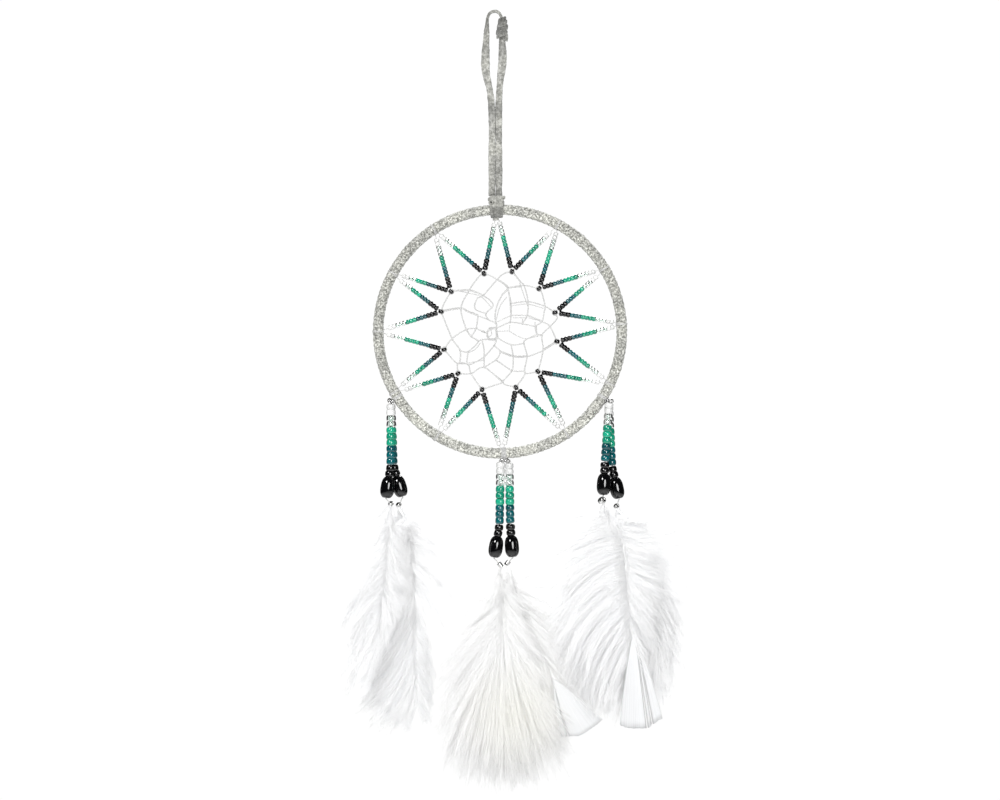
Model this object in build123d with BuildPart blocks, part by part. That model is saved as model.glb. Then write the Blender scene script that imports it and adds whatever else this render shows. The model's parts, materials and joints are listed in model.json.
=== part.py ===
"""A beaded dream catcher on a doubled suede lace, built as the separate pieces it is assembled from.

Frame: millimetres, +Z up, the front faces -Y and +X is to the right.
The origin is where a hook or nail bears, on the inside top of the hanging lace's loop.
"""

from build123d import *
import os
from math import atan2, cos, degrees, pi, radians, sin, sqrt, tan

os.makedirs("parts", exist_ok=True)

# ---------------------------------------------------------------- driving dimensions

hoop_diameter = 127.0  # over the suede wrap, a five inch hoop
ring_wire = 3.0  # the steel ring inside the wrap
wrap_thickness = 1.1  # suede wound round the ring
wrap_clearance = 0.02  # between the wire and the suede
hoop_x, hoop_z = 2.5, -158.5  # the hoop's centre; it hangs a little to one side of the hook

lace_diameter = 3.2  # round stand-in of the suede lace, which is 3.6 wide and 1.5 thick
lace_foot_z = -90.75  # where both strands of the lace enter the hitch
lace_left, lace_right = -1.75, 2.25  # where they stand on it
hitch_x = 0.9  # middle of the hitch, along the top of the hoop
hitch_play = 0.2  # room for the hoop to rock in the hitch
hitch_gap = 2.6  # between the hitch's two wraps, where the top star thread comes out
hitch_wrap_width = 3.4
hitch_wall = 1.4

thread_diameter = 0.4  # star and tie threads
web_thread_width = 0.5
seed_diameter, seed_length, seed_hole = 2.4, 1.75, 0.9  # the star's small beads
seed_rounding = 0.55  # of a bead's outer edges
seed_pitch = 1.83
bead_clear_radius = 1.42  # the web stops this far from the middle of a star bead
vertex_room = 2.75  # from the star's inner point to the middle of the first bead beside it
neighbour_room = 2.63  # between the middles of the two beads beside an inner point, at least
string_gap = 0.5  # from the wrap to a string, past its turn round the hoop
bare_thread = 1.5  # from the hoop to the middle of the first bead, at least
bare_thread_at_hitch = 3.9

pony_diameter, pony_hole = 4.1, 1.3  # the pendants' larger beads
pony_rounding = 1.0
pony_length = {"white": 2.75, "clear": 2.9, "green": 3.0, "teal": 3.0, "black": 2.8}
oval_diameter, oval_length = 6.9, 10.6
bead_gap = 0.08  # between neighbours on a strand
bend_gap = 0.45  # extra where a strand bends
strand_thread = 0.7
knot_radius = 0.6  # the wound tie that both strands of a pendant hang from
knot_half_length = {"left": 2.7, "middle": 3.1, "right": 2.7}
knot_clearance = 0.6  # from the hoop's wrap to the tie
tie_width, tie_thickness = 1.8, 0.25  # the tie's turns of thread round the hoop

feather_thickness = 1.5
quill_diameter = 1.0
quill_overlap = 12.0  # how far the quill runs on into the blade

tube_radius = ring_wire / 2 + wrap_thickness
hoop_radius = hoop_diameter / 2 - tube_radius
inner_edge = hoop_radius - tube_radius
hoop_centre = Vector(hoop_x, 0, hoop_z)

# The star's twelve outer points, as angles round the hoop, counterclockwise from +X.
outer_angles = (91.5, 61.5, 31, 3.5, -25.5, -57, -89, -121, -150, 180, 151.5, 123)
# The star's inner points, each between two outer ones, across and up from the hoop's centre.
inner_points = {
    "B": (6, 30),
    "C": (19.5, 21.5),
    "D": (27.5, 9.5),
    "E": (28.5, -5),
    "F": (19, -20),
    "G": (8, -28),
    "H": (-9, -29),
    "I": (-21, -21),
    "J": (-28, -9),
    "K": (-29.5, 10),
    "L": (-24.5, 20),
    "A": (-8, 29),
}

# The web's junctions, across and up from the hoop's centre, roughly row by row.
web_junctions = {
    "e1": (-5, 28),
    "f1": (2, 29),
    "c1": (-10.5, 27.5),
    "e2": (-1.5, 26),
    "g1": (10, 25),
    "e3": (4, 22),
    "g2": (12, 23),
    "c2": (-15.5, 20.5),
    "b3": (-8.5, 18),
    "e4": (1, 18),
    "h1": (4.5, 19),
    "i0": (21, 19),
    "bb1": (-11.5, 16.5),
    "g3": (14, 15),
    "b4": (-3.5, 13.5),
    "e5": (-1.5, 13),
    "h2": (5.5, 14),
    "i1": (22.5, 12.5),
    "d1": (-28, 14),
    "a1": (-19.5, 11.5),
    "bb2": (-12.5, 11.5),
    "a2": (-16.5, 10),
    "b5": (-7, 9),
    "a3": (-11, 8),
    "e6": (-2.5, 8),
    "h3": (5.5, 8),
    "g5": (13.5, 8),
    "k1": (22, 9.5),
    "l1": (28.5, 6.5),
    "a4": (-6, 6),
    "a6": (-2, 4),
    "h4": (5, 4.5),
    "p1": (11, 4),
    "j1": (21, 5),
    "j2": (25, 2.5),
    "o1": (18, 2.5),
    "y1": (-17, 1),
    "aa1": (-12, 1.5),
    "aa2": (-9.5, 0.5),
    "o2": (18.5, -1.5),
    "x1": (-24, -3.5),
    "z2": (-14.5, -2.5),
    "p3": (13, -4),
    "m1": (21, -2),
    "z3": (-11, -5),
    "z4": (-9, -4),
    "r2": (5.5, -6.5),
    "p4": (12, -6),
    "w1": (-20, -9.5),
    "x2": (-16, -10),
    "z5": (-8, -9),
    "z8": (-3, -7),
    "t1": (0, -10),
    "m2": (21.5, -9.5),
    "z7": (-8, -13),
    "n3": (6.5, -12.5),
    "n2": (13.5, -12.5),
    "v2": (-21, -16),
    "v1": (-16, -16.5),
    "t2": (-2, -14),
    "u2": (-8, -18),
    "s1": (6, -19.5),
    "p5": (12.5, -20.5),
    "u3": (-14.5, -21),
    "s2": (1.5, -25.5),
    "r0": (-2, 1.5),
    "r1": (-1.5, -3),
    "r3": (-5.5, -4),
    "r4": (-6.5, -0.5),
    "r5": (-4.5, 1.5),
}
# Each thread of the web, from junction to junction.
web_threads = (
    "K a1 a2 a3 a4 a6 r0",
    "L c2 b3 b4 b5 a4",
    "A c1 c2 a1 y1",
    "L d1 K",
    "A e1 e2 e3 e4 e5 e6 a6",
    "B f1 e2 b3 bb1 bb2 b5",
    "B g1 g2 g3 g5 p1",
    "e3 g2 C",
    "e3 h1 h2 h3 h4",
    "h2 g3 i1 D",
    "h3 g5 j1 j2 E",
    "C i0 i1 k1 j1 o1 o2 m1",
    "D l1 j2 m1 m2 F",
    "E m2 n2 n3 t1",
    "r0 h4 p1 o1",
    "o2 p3 p4 n2 p5 F",
    "r1 r2 p4",
    "r2 n3 s1 s2 G",
    "t2 s1 p5 G",
    "s2 u2 u3 I",
    "H s2",
    "H u3 v1 v2 I",
    "J v2 w1 x1 K",
    "J x1 y1 aa1 aa2 r4",
    "y1 z2 z3 x2 w1",
    "x2 v1 z7",
    "z4 z5 z7 u2",
    "z3 z4 r3",
    "a3 aa1 z2",
    "z7 z8 r1",
    "z8 t1 t2 u2",
    "r0 r1 r3 r4 r5 r0",
)

# The hanging lace, from the hitch up the left side, over the hook and down the right side, as
# across and up from the hook.  The two corners at the top make the fold over the hook.
lace_route = (
    (lace_left, lace_foot_z),
    (lace_left, -72),
    (-1.6, -53),
    (-2.1, -39),
    (-4.9, -29),
    (-4.7, -18),
    (-4.1, -8),
    (-3.6, lace_diameter / 2),
    (3.6, lace_diameter / 2),
    (3.5, -12.5),
    (4.0, -23),
    (2.5, -33),
    (2.0, -46),
    (lace_right, -68),
    (lace_right, lace_foot_z),
)
end_knot_top, end_knot_length, end_knot_diameter = -2.6, 8.6, 5.4

# Each strand of a pendant.  x and y are where it hangs; drop is the bare thread above its first
# bead; the tilts lean it towards +X above and below the bend, in degrees; stretch is the length of
# its beads against the usual; end is the silver bead, across and up from the oval's bottom.
strands = {
    "left_strand_1": dict(
        x=-52.0, y=-2.15, drop=0.7, tilt=0, low_tilt=-8, stretch=1.0, end=(2.4, -2.6), end_size=2.4
    ),
    "left_strand_2": dict(
        x=-52.0, y=2.15, drop=0.7, tilt=2, low_tilt=16, stretch=1.0, end=(-2.0, -3.8), end_size=2.4
    ),
    "middle_strand_1": dict(
        x=2.8, y=0, drop=0.1, tilt=-1, low_tilt=-9, stretch=1.02, end=(3.0, -3.5), end_size=2.4
    ),
    "middle_strand_2": dict(
        x=7.1, y=0, drop=0.4, tilt=1, low_tilt=4, stretch=1.0, end=(-2.6, -2.8), end_size=2.4
    ),
    "right_strand_1": dict(
        x=57.0, y=-2.15, drop=0.0, tilt=-4, low_tilt=-3, stretch=0.975, end=(-0.7, -2.5), end_size=3.4
    ),
    "right_strand_2": dict(
        x=57.0, y=2.15, drop=1.4, tilt=3, low_tilt=12, stretch=1.0, end=(-1.3, -3.5), end_size=2.4
    ),
}
bead_order = ["white"] * 2 + ["clear"] * 2 + ["green"] * 3 + ["teal"] * 3 + ["black"] * 2
beads_above_bend = 10

# Each feather's blade, across and up, as the points its outline runs through, and how far the
# blade lies behind (+) or in front (-) of the hoop's plane, so that neighbours pass each other.
feathers = {
    "left_feather_1": (
        -4.6,
        ((-53, -257), (-62, -272), (-70, -295), (-74.5, -322), (-73, -345), (-65, -356),
         (-58, -345), (-55, -318), (-51, -285)),
    ),
    "left_feather_2": (
        4.6,
        ((-47, -257), (-54, -275), (-60, -305), (-59, -338), (-51, -359), (-41, -358),
         (-35, -337), (-32, -305), (-36, -275)),
    ),
    "middle_feather_1": (
        -1.5,
        ((2, -286), (-11, -295), (-22, -312), (-27, -337), (-24, -364), (-11, -380),
         (5, -382), (14, -370), (13, -343), (10, -310)),
    ),
    "middle_feather_2": (
        1.5,
        ((8, -286), (5, -308), (11, -342), (24, -368), (37, -373), (47, -360),
         (47.5, -336), (38, -308), (22, -291)),
    ),
    "right_feather_1": (
        -4.6,
        ((53, -253), (43, -261), (35, -274), (34, -288), (43, -299), (52, -308),
         (54, -334), (59, -353), (65, -340), (65, -302), (60, -268)),
    ),
    "right_feather_2": (
        4.6,
        ((62, -257), (58, -280), (60, -312), (62, -340), (67, -357), (78, -354),
         (84, -330), (85, -300), (79, -274), (70, -260)),
    ),
}


# ---------------------------------------------------------------- shared shapes and places


def finish(piece, name):
    """Label a finished piece and write it."""
    piece.part.label = name
    export_step(piece.part, f"parts/{name}.step")


def on_hoop(radius, angle):
    """The point at that radius and angle in the hoop's own plane."""
    return hoop_centre + Vector(cos(radians(angle)), 0, sin(radians(angle))) * radius


def in_hoop(across, up):
    """The point that far across and up from the hoop's centre."""
    return hoop_centre + Vector(across, 0, up)


def tube_section(angle):
    """The plane that cuts the hoop's tube square at an angle, x outwards from the hoop's centre."""
    out = Vector(cos(radians(angle)), 0, sin(radians(angle)))
    return Plane(origin=hoop_centre, x_dir=out, z_dir=Vector(-out.Z, 0, out.X))


def round_bead(diameter, length, hole, rounding):
    """A bead centred on the Z axis, straight-sided between well rounded outer edges."""
    with BuildPart() as bead:
        with BuildSketch(Plane.XZ):
            with Locations(((diameter + hole) / 4, 0)):
                wall = Rectangle((diameter - hole) / 2, length)
            fillet(wall.vertices().group_by(Axis.X)[-1], radius=rounding)
        revolve(axis=Axis.Z)
    return bead.part


def oval_bead_shape(diameter, length, hole, end_diameter):
    """An oval bead centred on the Z axis, cut flat at both ends."""
    rim, half, bore = end_diameter / 2, length / 2, hole / 2
    with BuildPart() as bead:
        with BuildSketch(Plane.XZ):
            with BuildLine():
                Polyline((rim, -half), (bore, -half), (bore, half), (rim, half))
                ThreePointArc((rim, half), (diameter / 2, 0), (rim, -half))
            make_face()
        revolve(axis=Axis.Z)
    return bead.part


def route_radii(points):
    """The largest tangent arc that each corner of a route has room for."""
    radii = []
    for before, here, after in zip(points, points[1:], points[2:]):
        arriving, leaving = here - before, after - here
        half_turn = radians(arriving.get_angle(leaving)) / 2
        radii.append(0.45 * min(arriving.length, leaving.length) / tan(half_turn))
    return radii


def tube(route, radii, diameter):
    """A round tube along straight runs joined by tangent arcs."""
    with BuildPart() as swept:
        with BuildLine() as path:
            FilletPolyline(*route, radius=radii)
        with BuildSketch(Plane(origin=path.line @ 0, z_dir=path.line % 0)):
            Circle(diameter / 2)
        sweep()
    length = sum(edge.length for edge in path.edges())
    filled = swept.part.volume / (pi * diameter**2 / 4 * length)
    print(f"tube {length:.1f} long, volume {filled:.4f} of section x length")
    return swept


# ---------------------------------------------------------------- the hoop

# The steel ring.
with BuildPart() as hoop_ring:
    with BuildSketch(tube_section(0)):
        with Locations((hoop_radius, 0)):
            Circle(ring_wire / 2)
    revolve(axis=Axis(hoop_centre, (0, -1, 0)))
finish(hoop_ring, "hoop_ring")

# The suede wound round it, as one sleeve.
with BuildPart() as hoop_wrap:
    with BuildSketch(tube_section(0)):
        with Locations((hoop_radius, 0)):
            Circle(tube_radius)
            Circle(ring_wire / 2 + wrap_clearance, mode=Mode.SUBTRACT)
    revolve(axis=Axis(hoop_centre, (0, -1, 0)))
finish(hoop_wrap, "hoop_wrap")


# ---------------------------------------------------------------- the hanging lace and its hitch

lace_points = [Vector(across, 0, up) for across, up in lace_route]
lace_radii = route_radii(lace_points)
print("lace radii", [round(radius, 1) for radius in lace_radii])
hanging_lace = tube(lace_points, lace_radii, lace_diameter)
finish(hanging_lace, "hanging_lace")

# The lace's tied end, wound round its right strand just below the fold.
knot_axis_x = lace_route[9][0] + 0.02
with BuildPart() as lace_end_knot:
    with BuildSketch(Plane.XY.offset(end_knot_top)):
        with Locations((knot_axis_x, 0)):
            Circle(end_knot_diameter / 2)
    extrude(amount=-end_knot_length)
    fillet(lace_end_knot.edges(), radius=1.0)
    with BuildSketch(Plane.XY.offset(end_knot_top)):
        with Locations((knot_axis_x, 0)):
            Circle(lace_diameter / 2 + 0.1)
    extrude(amount=-end_knot_length, mode=Mode.SUBTRACT)
finish(lace_end_knot, "lace_end_knot")

# The hitch: a head that gathers the two strands, over two wraps that go round the hoop's tube.
bore_radius = tube_radius + hitch_play
hitch_radius = bore_radius + hitch_wall
hitch_angle = 90 - degrees((hitch_x - hoop_x) / hoop_radius)
wrap_arc = degrees(hitch_wrap_width / hoop_radius)
gap_arc = degrees(hitch_gap / hoop_radius)
hitch_width = hitch_gap + 2 * hitch_wrap_width
head_bottom = hoop_z + hoop_radius + 1.5
with BuildPart() as lace_hitch:
    for first_angle in (hitch_angle - gap_arc / 2 - wrap_arc, hitch_angle + gap_arc / 2):
        with BuildSketch(tube_section(first_angle)):
            with Locations((hoop_radius, 0)):
                Circle(hitch_radius)
        revolve(axis=Axis(hoop_centre, (0, -1, 0)), revolution_arc=wrap_arc)
    with BuildSketch(Plane.XY.offset(head_bottom)):
        with Locations((hitch_x, 0)):
            RectangleRounded(hitch_width, 4.6, 1.6)
    extrude(amount=lace_foot_z - head_bottom)
    with BuildSketch(tube_section(hitch_angle - 15)):
        with Locations((hoop_radius, 0)):
            Circle(bore_radius)
    revolve(axis=Axis(hoop_centre, (0, -1, 0)), revolution_arc=30, mode=Mode.SUBTRACT)
finish(lace_hitch, "lace_hitch")


# ---------------------------------------------------------------- the beaded star

# A string of beads is a straight thread from the hoop to an inner point.  Two leave each outer
# point, side by side, and two meet at each inner point, beside its black bead.
inner_names = list(inner_points)
strings = []
for index, angle in enumerate(outer_angles):
    before, after = inner_names[index - 1], inner_names[index]
    at_hitch = index == 0
    spread = 0.45 if at_hitch else 1.0
    for name, side in ((before, 1), (after, -1)):
        start = on_hoop(inner_edge - string_gap, angle + side * degrees(spread / inner_edge))
        strings.append((start, in_hoop(*inner_points[name]), at_hitch))



def room_beside(inner):
    """How far from an inner point the first bead of each of its two strings stands."""
    first, second = [start - point for start, point, _ in strings if (point - inner).length < 0.01]
    half_angle = radians(first.get_angle(second)) / 2
    return max(vertex_room, neighbour_room / (2 * sin(half_angle)))


colour_counts = {"black": 3, "teal": 3, "green": 3, "clear": 2, "white": 2}
extra_beads = ("clear", "green", "teal")
seed_places = {colour: [] for colour in colour_counts}
thread_runs, beside_points = [], []
for start, inner, at_hitch in strings:
    outward = (start - inner).normalized()
    length = (start - inner).length
    room = room_beside(inner)
    bare = bare_thread_at_hitch if at_hitch else bare_thread
    count = int((length - room - bare) / seed_pitch) + 1
    counts = dict(colour_counts)
    for extra in extra_beads[: max(0, count - sum(counts.values()))]:
        counts[extra] += 1
    row = [colour for colour in counts for _ in range(counts[colour])][:count]
    if at_hitch:
        row[-2:] = ["clear", "white"]
    for place, colour in enumerate(row):
        centre = inner + outward * (room + place * seed_pitch)
        seed_places[colour].append(Plane(origin=centre, z_dir=outward))
    beside = inner + outward * room - hoop_centre
    beside_points.append((beside.X, beside.Z))
    thread_start = inner + outward * (room - seed_length / 2)
    thread_runs.append((thread_start, outward, length - room + seed_length / 2))

# The black bead at each inner point lies across, with the thread through it.
for across, up in inner_points.values():
    out = Vector(across, 0, up).normalized()
    sideways = Vector(-out.Z, 0, out.X)
    middle = in_hoop(across, up)
    seed_places["black"].append(Plane(origin=middle, z_dir=sideways))
    thread_runs.append((middle - sideways * seed_length / 2, sideways, seed_length))

seed_bead = round_bead(seed_diameter, seed_length, seed_hole, seed_rounding)
for colour, places in seed_places.items():
    with BuildPart() as star_beads:
        with Locations(*places):
            add(seed_bead)
    finish(star_beads, f"star_{colour}_beads")

# The star's thread: a straight run through each string and each inner bead.
with BuildPart() as star_thread:
    for origin, direction, length in thread_runs:
        with BuildSketch(Plane(origin=origin, z_dir=direction)):
            Circle(thread_diameter / 2)
        extrude(amount=length)
finish(star_thread, "star_thread")

# Its turns round the hoop, one at each outer point that the hitch doesn't cover.
turn_inner = tube_radius + 0.02
with BuildPart() as star_thread_turns:
    for angle in outer_angles[1:]:
        with BuildSketch(tube_section(angle)):
            with Locations((hoop_radius, 0)):
                Circle(turn_inner + thread_diameter)
                Circle(turn_inner, mode=Mode.SUBTRACT)
        extrude(amount=thread_diameter / 2, both=True)
finish(star_thread_turns, "star_thread_turns")

# The web: a flat net of thread, held at the star's inner points.
web_plane = Plane(origin=hoop_centre, x_dir=(1, 0, 0), z_dir=(0, -1, 0))
web_places = {**web_junctions, **inner_points}
with BuildPart() as web_thread:
    with BuildSketch(web_plane) as web_outline:
        for thread in web_threads:
            names = thread.split()
            for first, second in zip(names, names[1:]):
                here, there = Vector(*web_places[first]), Vector(*web_places[second])
                run = there - here
                turn = degrees(atan2(run.Y, run.X))
                with Locations(Location((here + there) / 2, (0, 0, turn))):
                    SlotCenterToCenter(run.length, web_thread_width)
        with Locations(*inner_points.values(), *beside_points):
            Circle(bead_clear_radius, mode=Mode.SUBTRACT)
    extrude(amount=web_thread_width / 2, both=True)
finish(web_thread, "web_thread")


# ---------------------------------------------------------------- the three pendants

tie_radius = hoop_radius + tube_radius + knot_clearance + knot_radius


def tie_height(x):
    """How high a tie hangs, just outside the hoop, at that x."""
    return hoop_z - sqrt(tie_radius**2 - (x - hoop_x) ** 2)


ties = {"left": -52.0, "middle": 4.95, "right": 57.0}

# The ties' turns of thread round the hoop.
with BuildPart() as pendant_ties:
    for tie_x in ties.values():
        angle = degrees(atan2(tie_height(tie_x) - hoop_z, tie_x - hoop_x))
        with BuildSketch(tube_section(angle)):
            with Locations((hoop_radius, 0)):
                Circle(turn_inner + tie_thickness)
                Circle(turn_inner, mode=Mode.SUBTRACT)
        extrude(amount=tie_width / 2, both=True)
finish(pendant_ties, "pendant_ties")

# The wound knots: front to back on the side pendants, left to right on the middle one.
for name, tie_x in ties.items():
    centre = Vector(tie_x, 0, tie_height(tie_x))
    along = Vector(1, 0, 0) if name == "middle" else Vector(0, 1, 0)
    with BuildPart() as tie_knot:
        with BuildSketch(Plane(origin=centre, z_dir=along)):
            Circle(knot_radius)
        extrude(amount=knot_half_length[name], both=True)
        fillet(tie_knot.edges(), radius=knot_radius * 0.6)
    finish(tie_knot, f"{name}_tie_knot")
    print("sway", name, *centre)

pony_beads = {}
for stretch in {strand["stretch"] for strand in strands.values()}:
    for colour, length in pony_length.items():
        bead = round_bead(pony_diameter, length * stretch, pony_hole, pony_rounding)
        pony_beads[colour, stretch] = bead
oval_bead = oval_bead_shape(oval_diameter, oval_length, pony_hole, oval_diameter / 2)

feather_roots = {}
for name, strand in strands.items():
    pivot = Vector(strand["x"], strand["y"], tie_height(ties[name.split("_")[0]]))
    walk = pivot - Vector(0, 0, knot_radius + 0.15 + strand["drop"])
    route = [pivot - Vector(0, 0, knot_radius + 0.1)]
    places = {"white": [], "clear": [], "green": [], "teal": [], "black": []}
    tilt = strand["tilt"]
    down = Vector(sin(radians(tilt)), 0, -cos(radians(tilt)))
    for index, colour in enumerate(bead_order):
        if index == beads_above_bend:
            walk += down * bend_gap / 2
            route.append(walk)
            tilt = strand["low_tilt"]
            down = Vector(sin(radians(tilt)), 0, -cos(radians(tilt)))
            walk += down * bend_gap / 2
        length = pony_length[colour] * strand["stretch"]
        places[colour].append(Plane(origin=walk + down * length / 2, z_dir=down))
        walk += down * (length + bead_gap)
    oval_centre = walk + down * oval_length / 2
    route.append(walk + down * (oval_length + 0.35))
    end_centre = route[-1] + Vector(strand["end"][0], 0, strand["end"][1])
    last_run = end_centre - route[-1]
    route.append(end_centre - last_run.normalized() * (strand["end_size"] / 2 + 0.02))

    # The thread, bent a little above the black beads and again under the oval.
    strand_cord = tube(route, [8.0, 0.3], strand_thread)
    finish(strand_cord, f"{name}_thread")

    # Opaque white beads, then clear silver-lined ones.
    with BuildPart() as pale_beads:
        for colour in ("white", "clear"):
            with Locations(*places[colour]):
                add(pony_beads[colour, strand["stretch"]])
    finish(pale_beads, f"{name}_pale_beads")

    for colour in ("green", "teal"):
        with BuildPart() as pony_row:
            with Locations(*places[colour]):
                add(pony_beads[colour, strand["stretch"]])
        finish(pony_row, f"{name}_{colour}_beads")

    # Two round black beads over the oval one.
    with BuildPart() as black_beads:
        with Locations(*places["black"]):
            add(pony_beads["black", strand["stretch"]])
        with Locations(Plane(origin=oval_centre, z_dir=down)):
            add(oval_bead)
    finish(black_beads, f"{name}_black_beads")

    # The silver bead that closes the strand over the quill.
    with BuildPart() as end_bead:
        with Locations(end_centre):
            Sphere(strand["end_size"] / 2)
    finish(end_bead, f"{name}_end_bead")

    root_drop = Vector(0, 0, strand["end_size"] / 2 + 0.1)
    feather_roots[name.replace("strand", "feather")] = end_centre - root_drop
    print("swing", name, *pivot)

# The feathers: a thin blade under a bare quill.
for name, (layer, outline) in feathers.items():
    root = feather_roots[name]
    blade_top = Vector(outline[0][0], layer, outline[0][1])
    quill_end = blade_top - Vector(0, 0, quill_overlap)
    with BuildPart() as feather:
        with BuildSketch(Plane.XZ.offset(-layer)):
            with BuildLine():
                Spline(*outline, periodic=True)
            make_face()
        extrude(amount=feather_thickness / 2, both=True)
        with BuildSketch(Plane(origin=root, z_dir=blade_top - root)):
            Circle(quill_diameter / 2)
        extrude(amount=(blade_top - root).length)
        with BuildSketch(Plane(origin=blade_top, z_dir=quill_end - blade_top)):
            Circle(quill_diameter / 2)
        extrude(amount=quill_overlap)
        with Locations(blade_top):
            Sphere(quill_diameter / 2)
    finish(feather, name)
    print("flutter", name, *root)
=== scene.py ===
import json
from math import cos, pi, radians, sin

import bpy
import numpy as np
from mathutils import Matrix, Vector, noise


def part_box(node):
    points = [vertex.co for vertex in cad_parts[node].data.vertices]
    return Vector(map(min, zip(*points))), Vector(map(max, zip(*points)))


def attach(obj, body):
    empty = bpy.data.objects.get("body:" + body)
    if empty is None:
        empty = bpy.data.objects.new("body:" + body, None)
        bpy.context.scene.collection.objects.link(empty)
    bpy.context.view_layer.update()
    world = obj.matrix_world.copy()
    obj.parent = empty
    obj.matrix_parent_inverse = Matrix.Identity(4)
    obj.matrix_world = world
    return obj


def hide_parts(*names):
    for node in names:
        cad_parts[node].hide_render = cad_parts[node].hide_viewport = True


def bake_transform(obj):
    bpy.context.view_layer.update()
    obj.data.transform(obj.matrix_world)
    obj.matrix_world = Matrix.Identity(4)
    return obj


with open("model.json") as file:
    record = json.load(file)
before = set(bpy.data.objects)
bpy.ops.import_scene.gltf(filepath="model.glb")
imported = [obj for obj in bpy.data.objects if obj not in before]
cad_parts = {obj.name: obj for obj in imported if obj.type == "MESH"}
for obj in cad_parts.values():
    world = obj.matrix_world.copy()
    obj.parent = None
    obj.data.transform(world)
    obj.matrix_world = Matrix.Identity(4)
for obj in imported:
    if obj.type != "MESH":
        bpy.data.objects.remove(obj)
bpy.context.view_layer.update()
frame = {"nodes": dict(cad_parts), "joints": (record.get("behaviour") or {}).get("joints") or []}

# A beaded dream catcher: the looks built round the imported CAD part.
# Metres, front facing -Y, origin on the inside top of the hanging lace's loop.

MM = 0.001
FRONT = np.array((0.0, -1.0, 0.0))
rng = np.random.default_rng(20417)

# ---------------------------------------------------------------- camera

FIELD_WIDTH, CAMERA_DISTANCE, SENSOR = 0.5, 1.2, 36.0


def placed(name, data):
    """A new object in the scene."""
    obj = bpy.data.objects.new(name, data)
    bpy.context.scene.collection.objects.link(obj)
    return obj


camera = placed("camera", bpy.data.cameras.new("camera"))
camera.data.sensor_width = SENSOR
camera.data.lens = SENSOR * CAMERA_DISTANCE / FIELD_WIDTH
camera.location = (0.0025, -CAMERA_DISTANCE, -0.19275)
camera.rotation_euler = (pi / 2, 0, 0)
bpy.context.scene.camera = camera

# ---------------------------------------------------------------- the lace's route

# In mm, from part.py, with its two sides drawn together.
LACE_ROUTE = (
    (-1.5, -0.25, -90.75),
    (-1.5, -0.25, -72),
    (-1.35, -0.25, -53),
    (-2.1, -0.1, -39),
    (-4.9, 0, -29),
    (-4.7, 0, -18),
    (-4.1, 0, -8),
    (-3.6, 0, 1.6),
    (3.6, 0, 1.6),
    (3.5, 0, -12.5),
    (4.0, 0, -23),
    (2.5, 0.1, -33),
    (1.75, 0.25, -46),
    (1.95, 0.25, -68),
    (1.95, 0.25, -90.75),
)
LACE_WIDTH, LACE_THICKNESS = 3.6, 1.4

# ---------------------------------------------------------------- helpers


def smoothstep(x):
    x = np.clip(x, 0, 1)
    return x * x * (3 - 2 * x)


def unit(v):
    return v / np.maximum(np.linalg.norm(v, axis=-1, keepdims=True), 1e-12)


def nurbs_line(route, resolution=26):
    """The points of the smooth NURBS line with these control points, in metres."""
    curve = bpy.data.curves.new("route", "CURVE")
    curve.dimensions = "3D"
    spline = curve.splines.new("NURBS")
    spline.points.add(len(route) - 1)
    for point, place in zip(spline.points, route):
        point.co = (*(MM * x for x in place), 1)
    spline.order_u = 3
    spline.use_endpoint_u = True
    spline.resolution_u = resolution
    holder = placed("route", curve)
    bpy.context.view_layer.update()
    mesh = bpy.data.meshes.new_from_object(holder)
    line = np.array([v.co for v in mesh.vertices], float)
    bpy.data.objects.remove(holder)
    bpy.data.meshes.remove(mesh)
    return line


def circle(count):
    """Angles spread evenly once round."""
    return np.linspace(0, 2 * pi, count, endpoint=False)


def powered(value, power):
    """A power that keeps the sign: under 1 it squares a circle's corners."""
    return np.sign(value) * np.abs(value) ** power


def column(value, count):
    """One number or many, as a column of count numbers."""
    return np.broadcast_to(np.asarray(value, float), (count,))[:, None]


def distances(points):
    """How far along the line each point is."""
    return np.concatenate([[0], np.cumsum(np.linalg.norm(np.diff(points, axis=0), axis=1))])


def evenly(points, spacing):
    """The same line with points at an even spacing."""
    points = np.asarray(points, float)
    along = distances(points)
    wanted = np.linspace(0, along[-1], max(2, int(round(along[-1] / spacing)) + 1))
    return np.stack([np.interp(wanted, along, points[:, k]) for k in range(3)], 1)


def smooth_line(points, spacing):
    """A Catmull-Rom line through the points, evenly spaced."""
    p = np.asarray(points, float)
    if len(p) == 2:
        return evenly(p, spacing)
    p = np.vstack([2 * p[0] - p[1], p, 2 * p[-1] - p[-2]])
    u = np.linspace(0, 1, 13)[:-1, None]
    runs = [
        0.5 * (2 * b + (c - a) * u + (2 * a - 5 * b + 4 * c - d) * u**2 + (3 * b - a - 3 * c + d) * u**3)
        for a, b, c, d in zip(p, p[1:], p[2:], p[3:])
    ]
    return evenly(np.vstack(runs + [p[-2:-1]]), spacing)


def tangents(points, closed=False):
    if closed:
        return unit(np.roll(points, -1, 0) - np.roll(points, 1, 0))
    return unit(np.gradient(points, axis=0))


def carried_frame(points):
    """Two directions across a line at each point, turning with it as little as they can."""
    t = tangents(points)
    across = [unit(np.cross(t[0], (0.31, 0.9, 0.29)))]
    for k in range(1, len(points)):
        across.append(unit(across[-1] - t[k] * np.dot(across[-1], t[k])))
    across = np.array(across)
    return across, np.cross(t, across)


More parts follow.
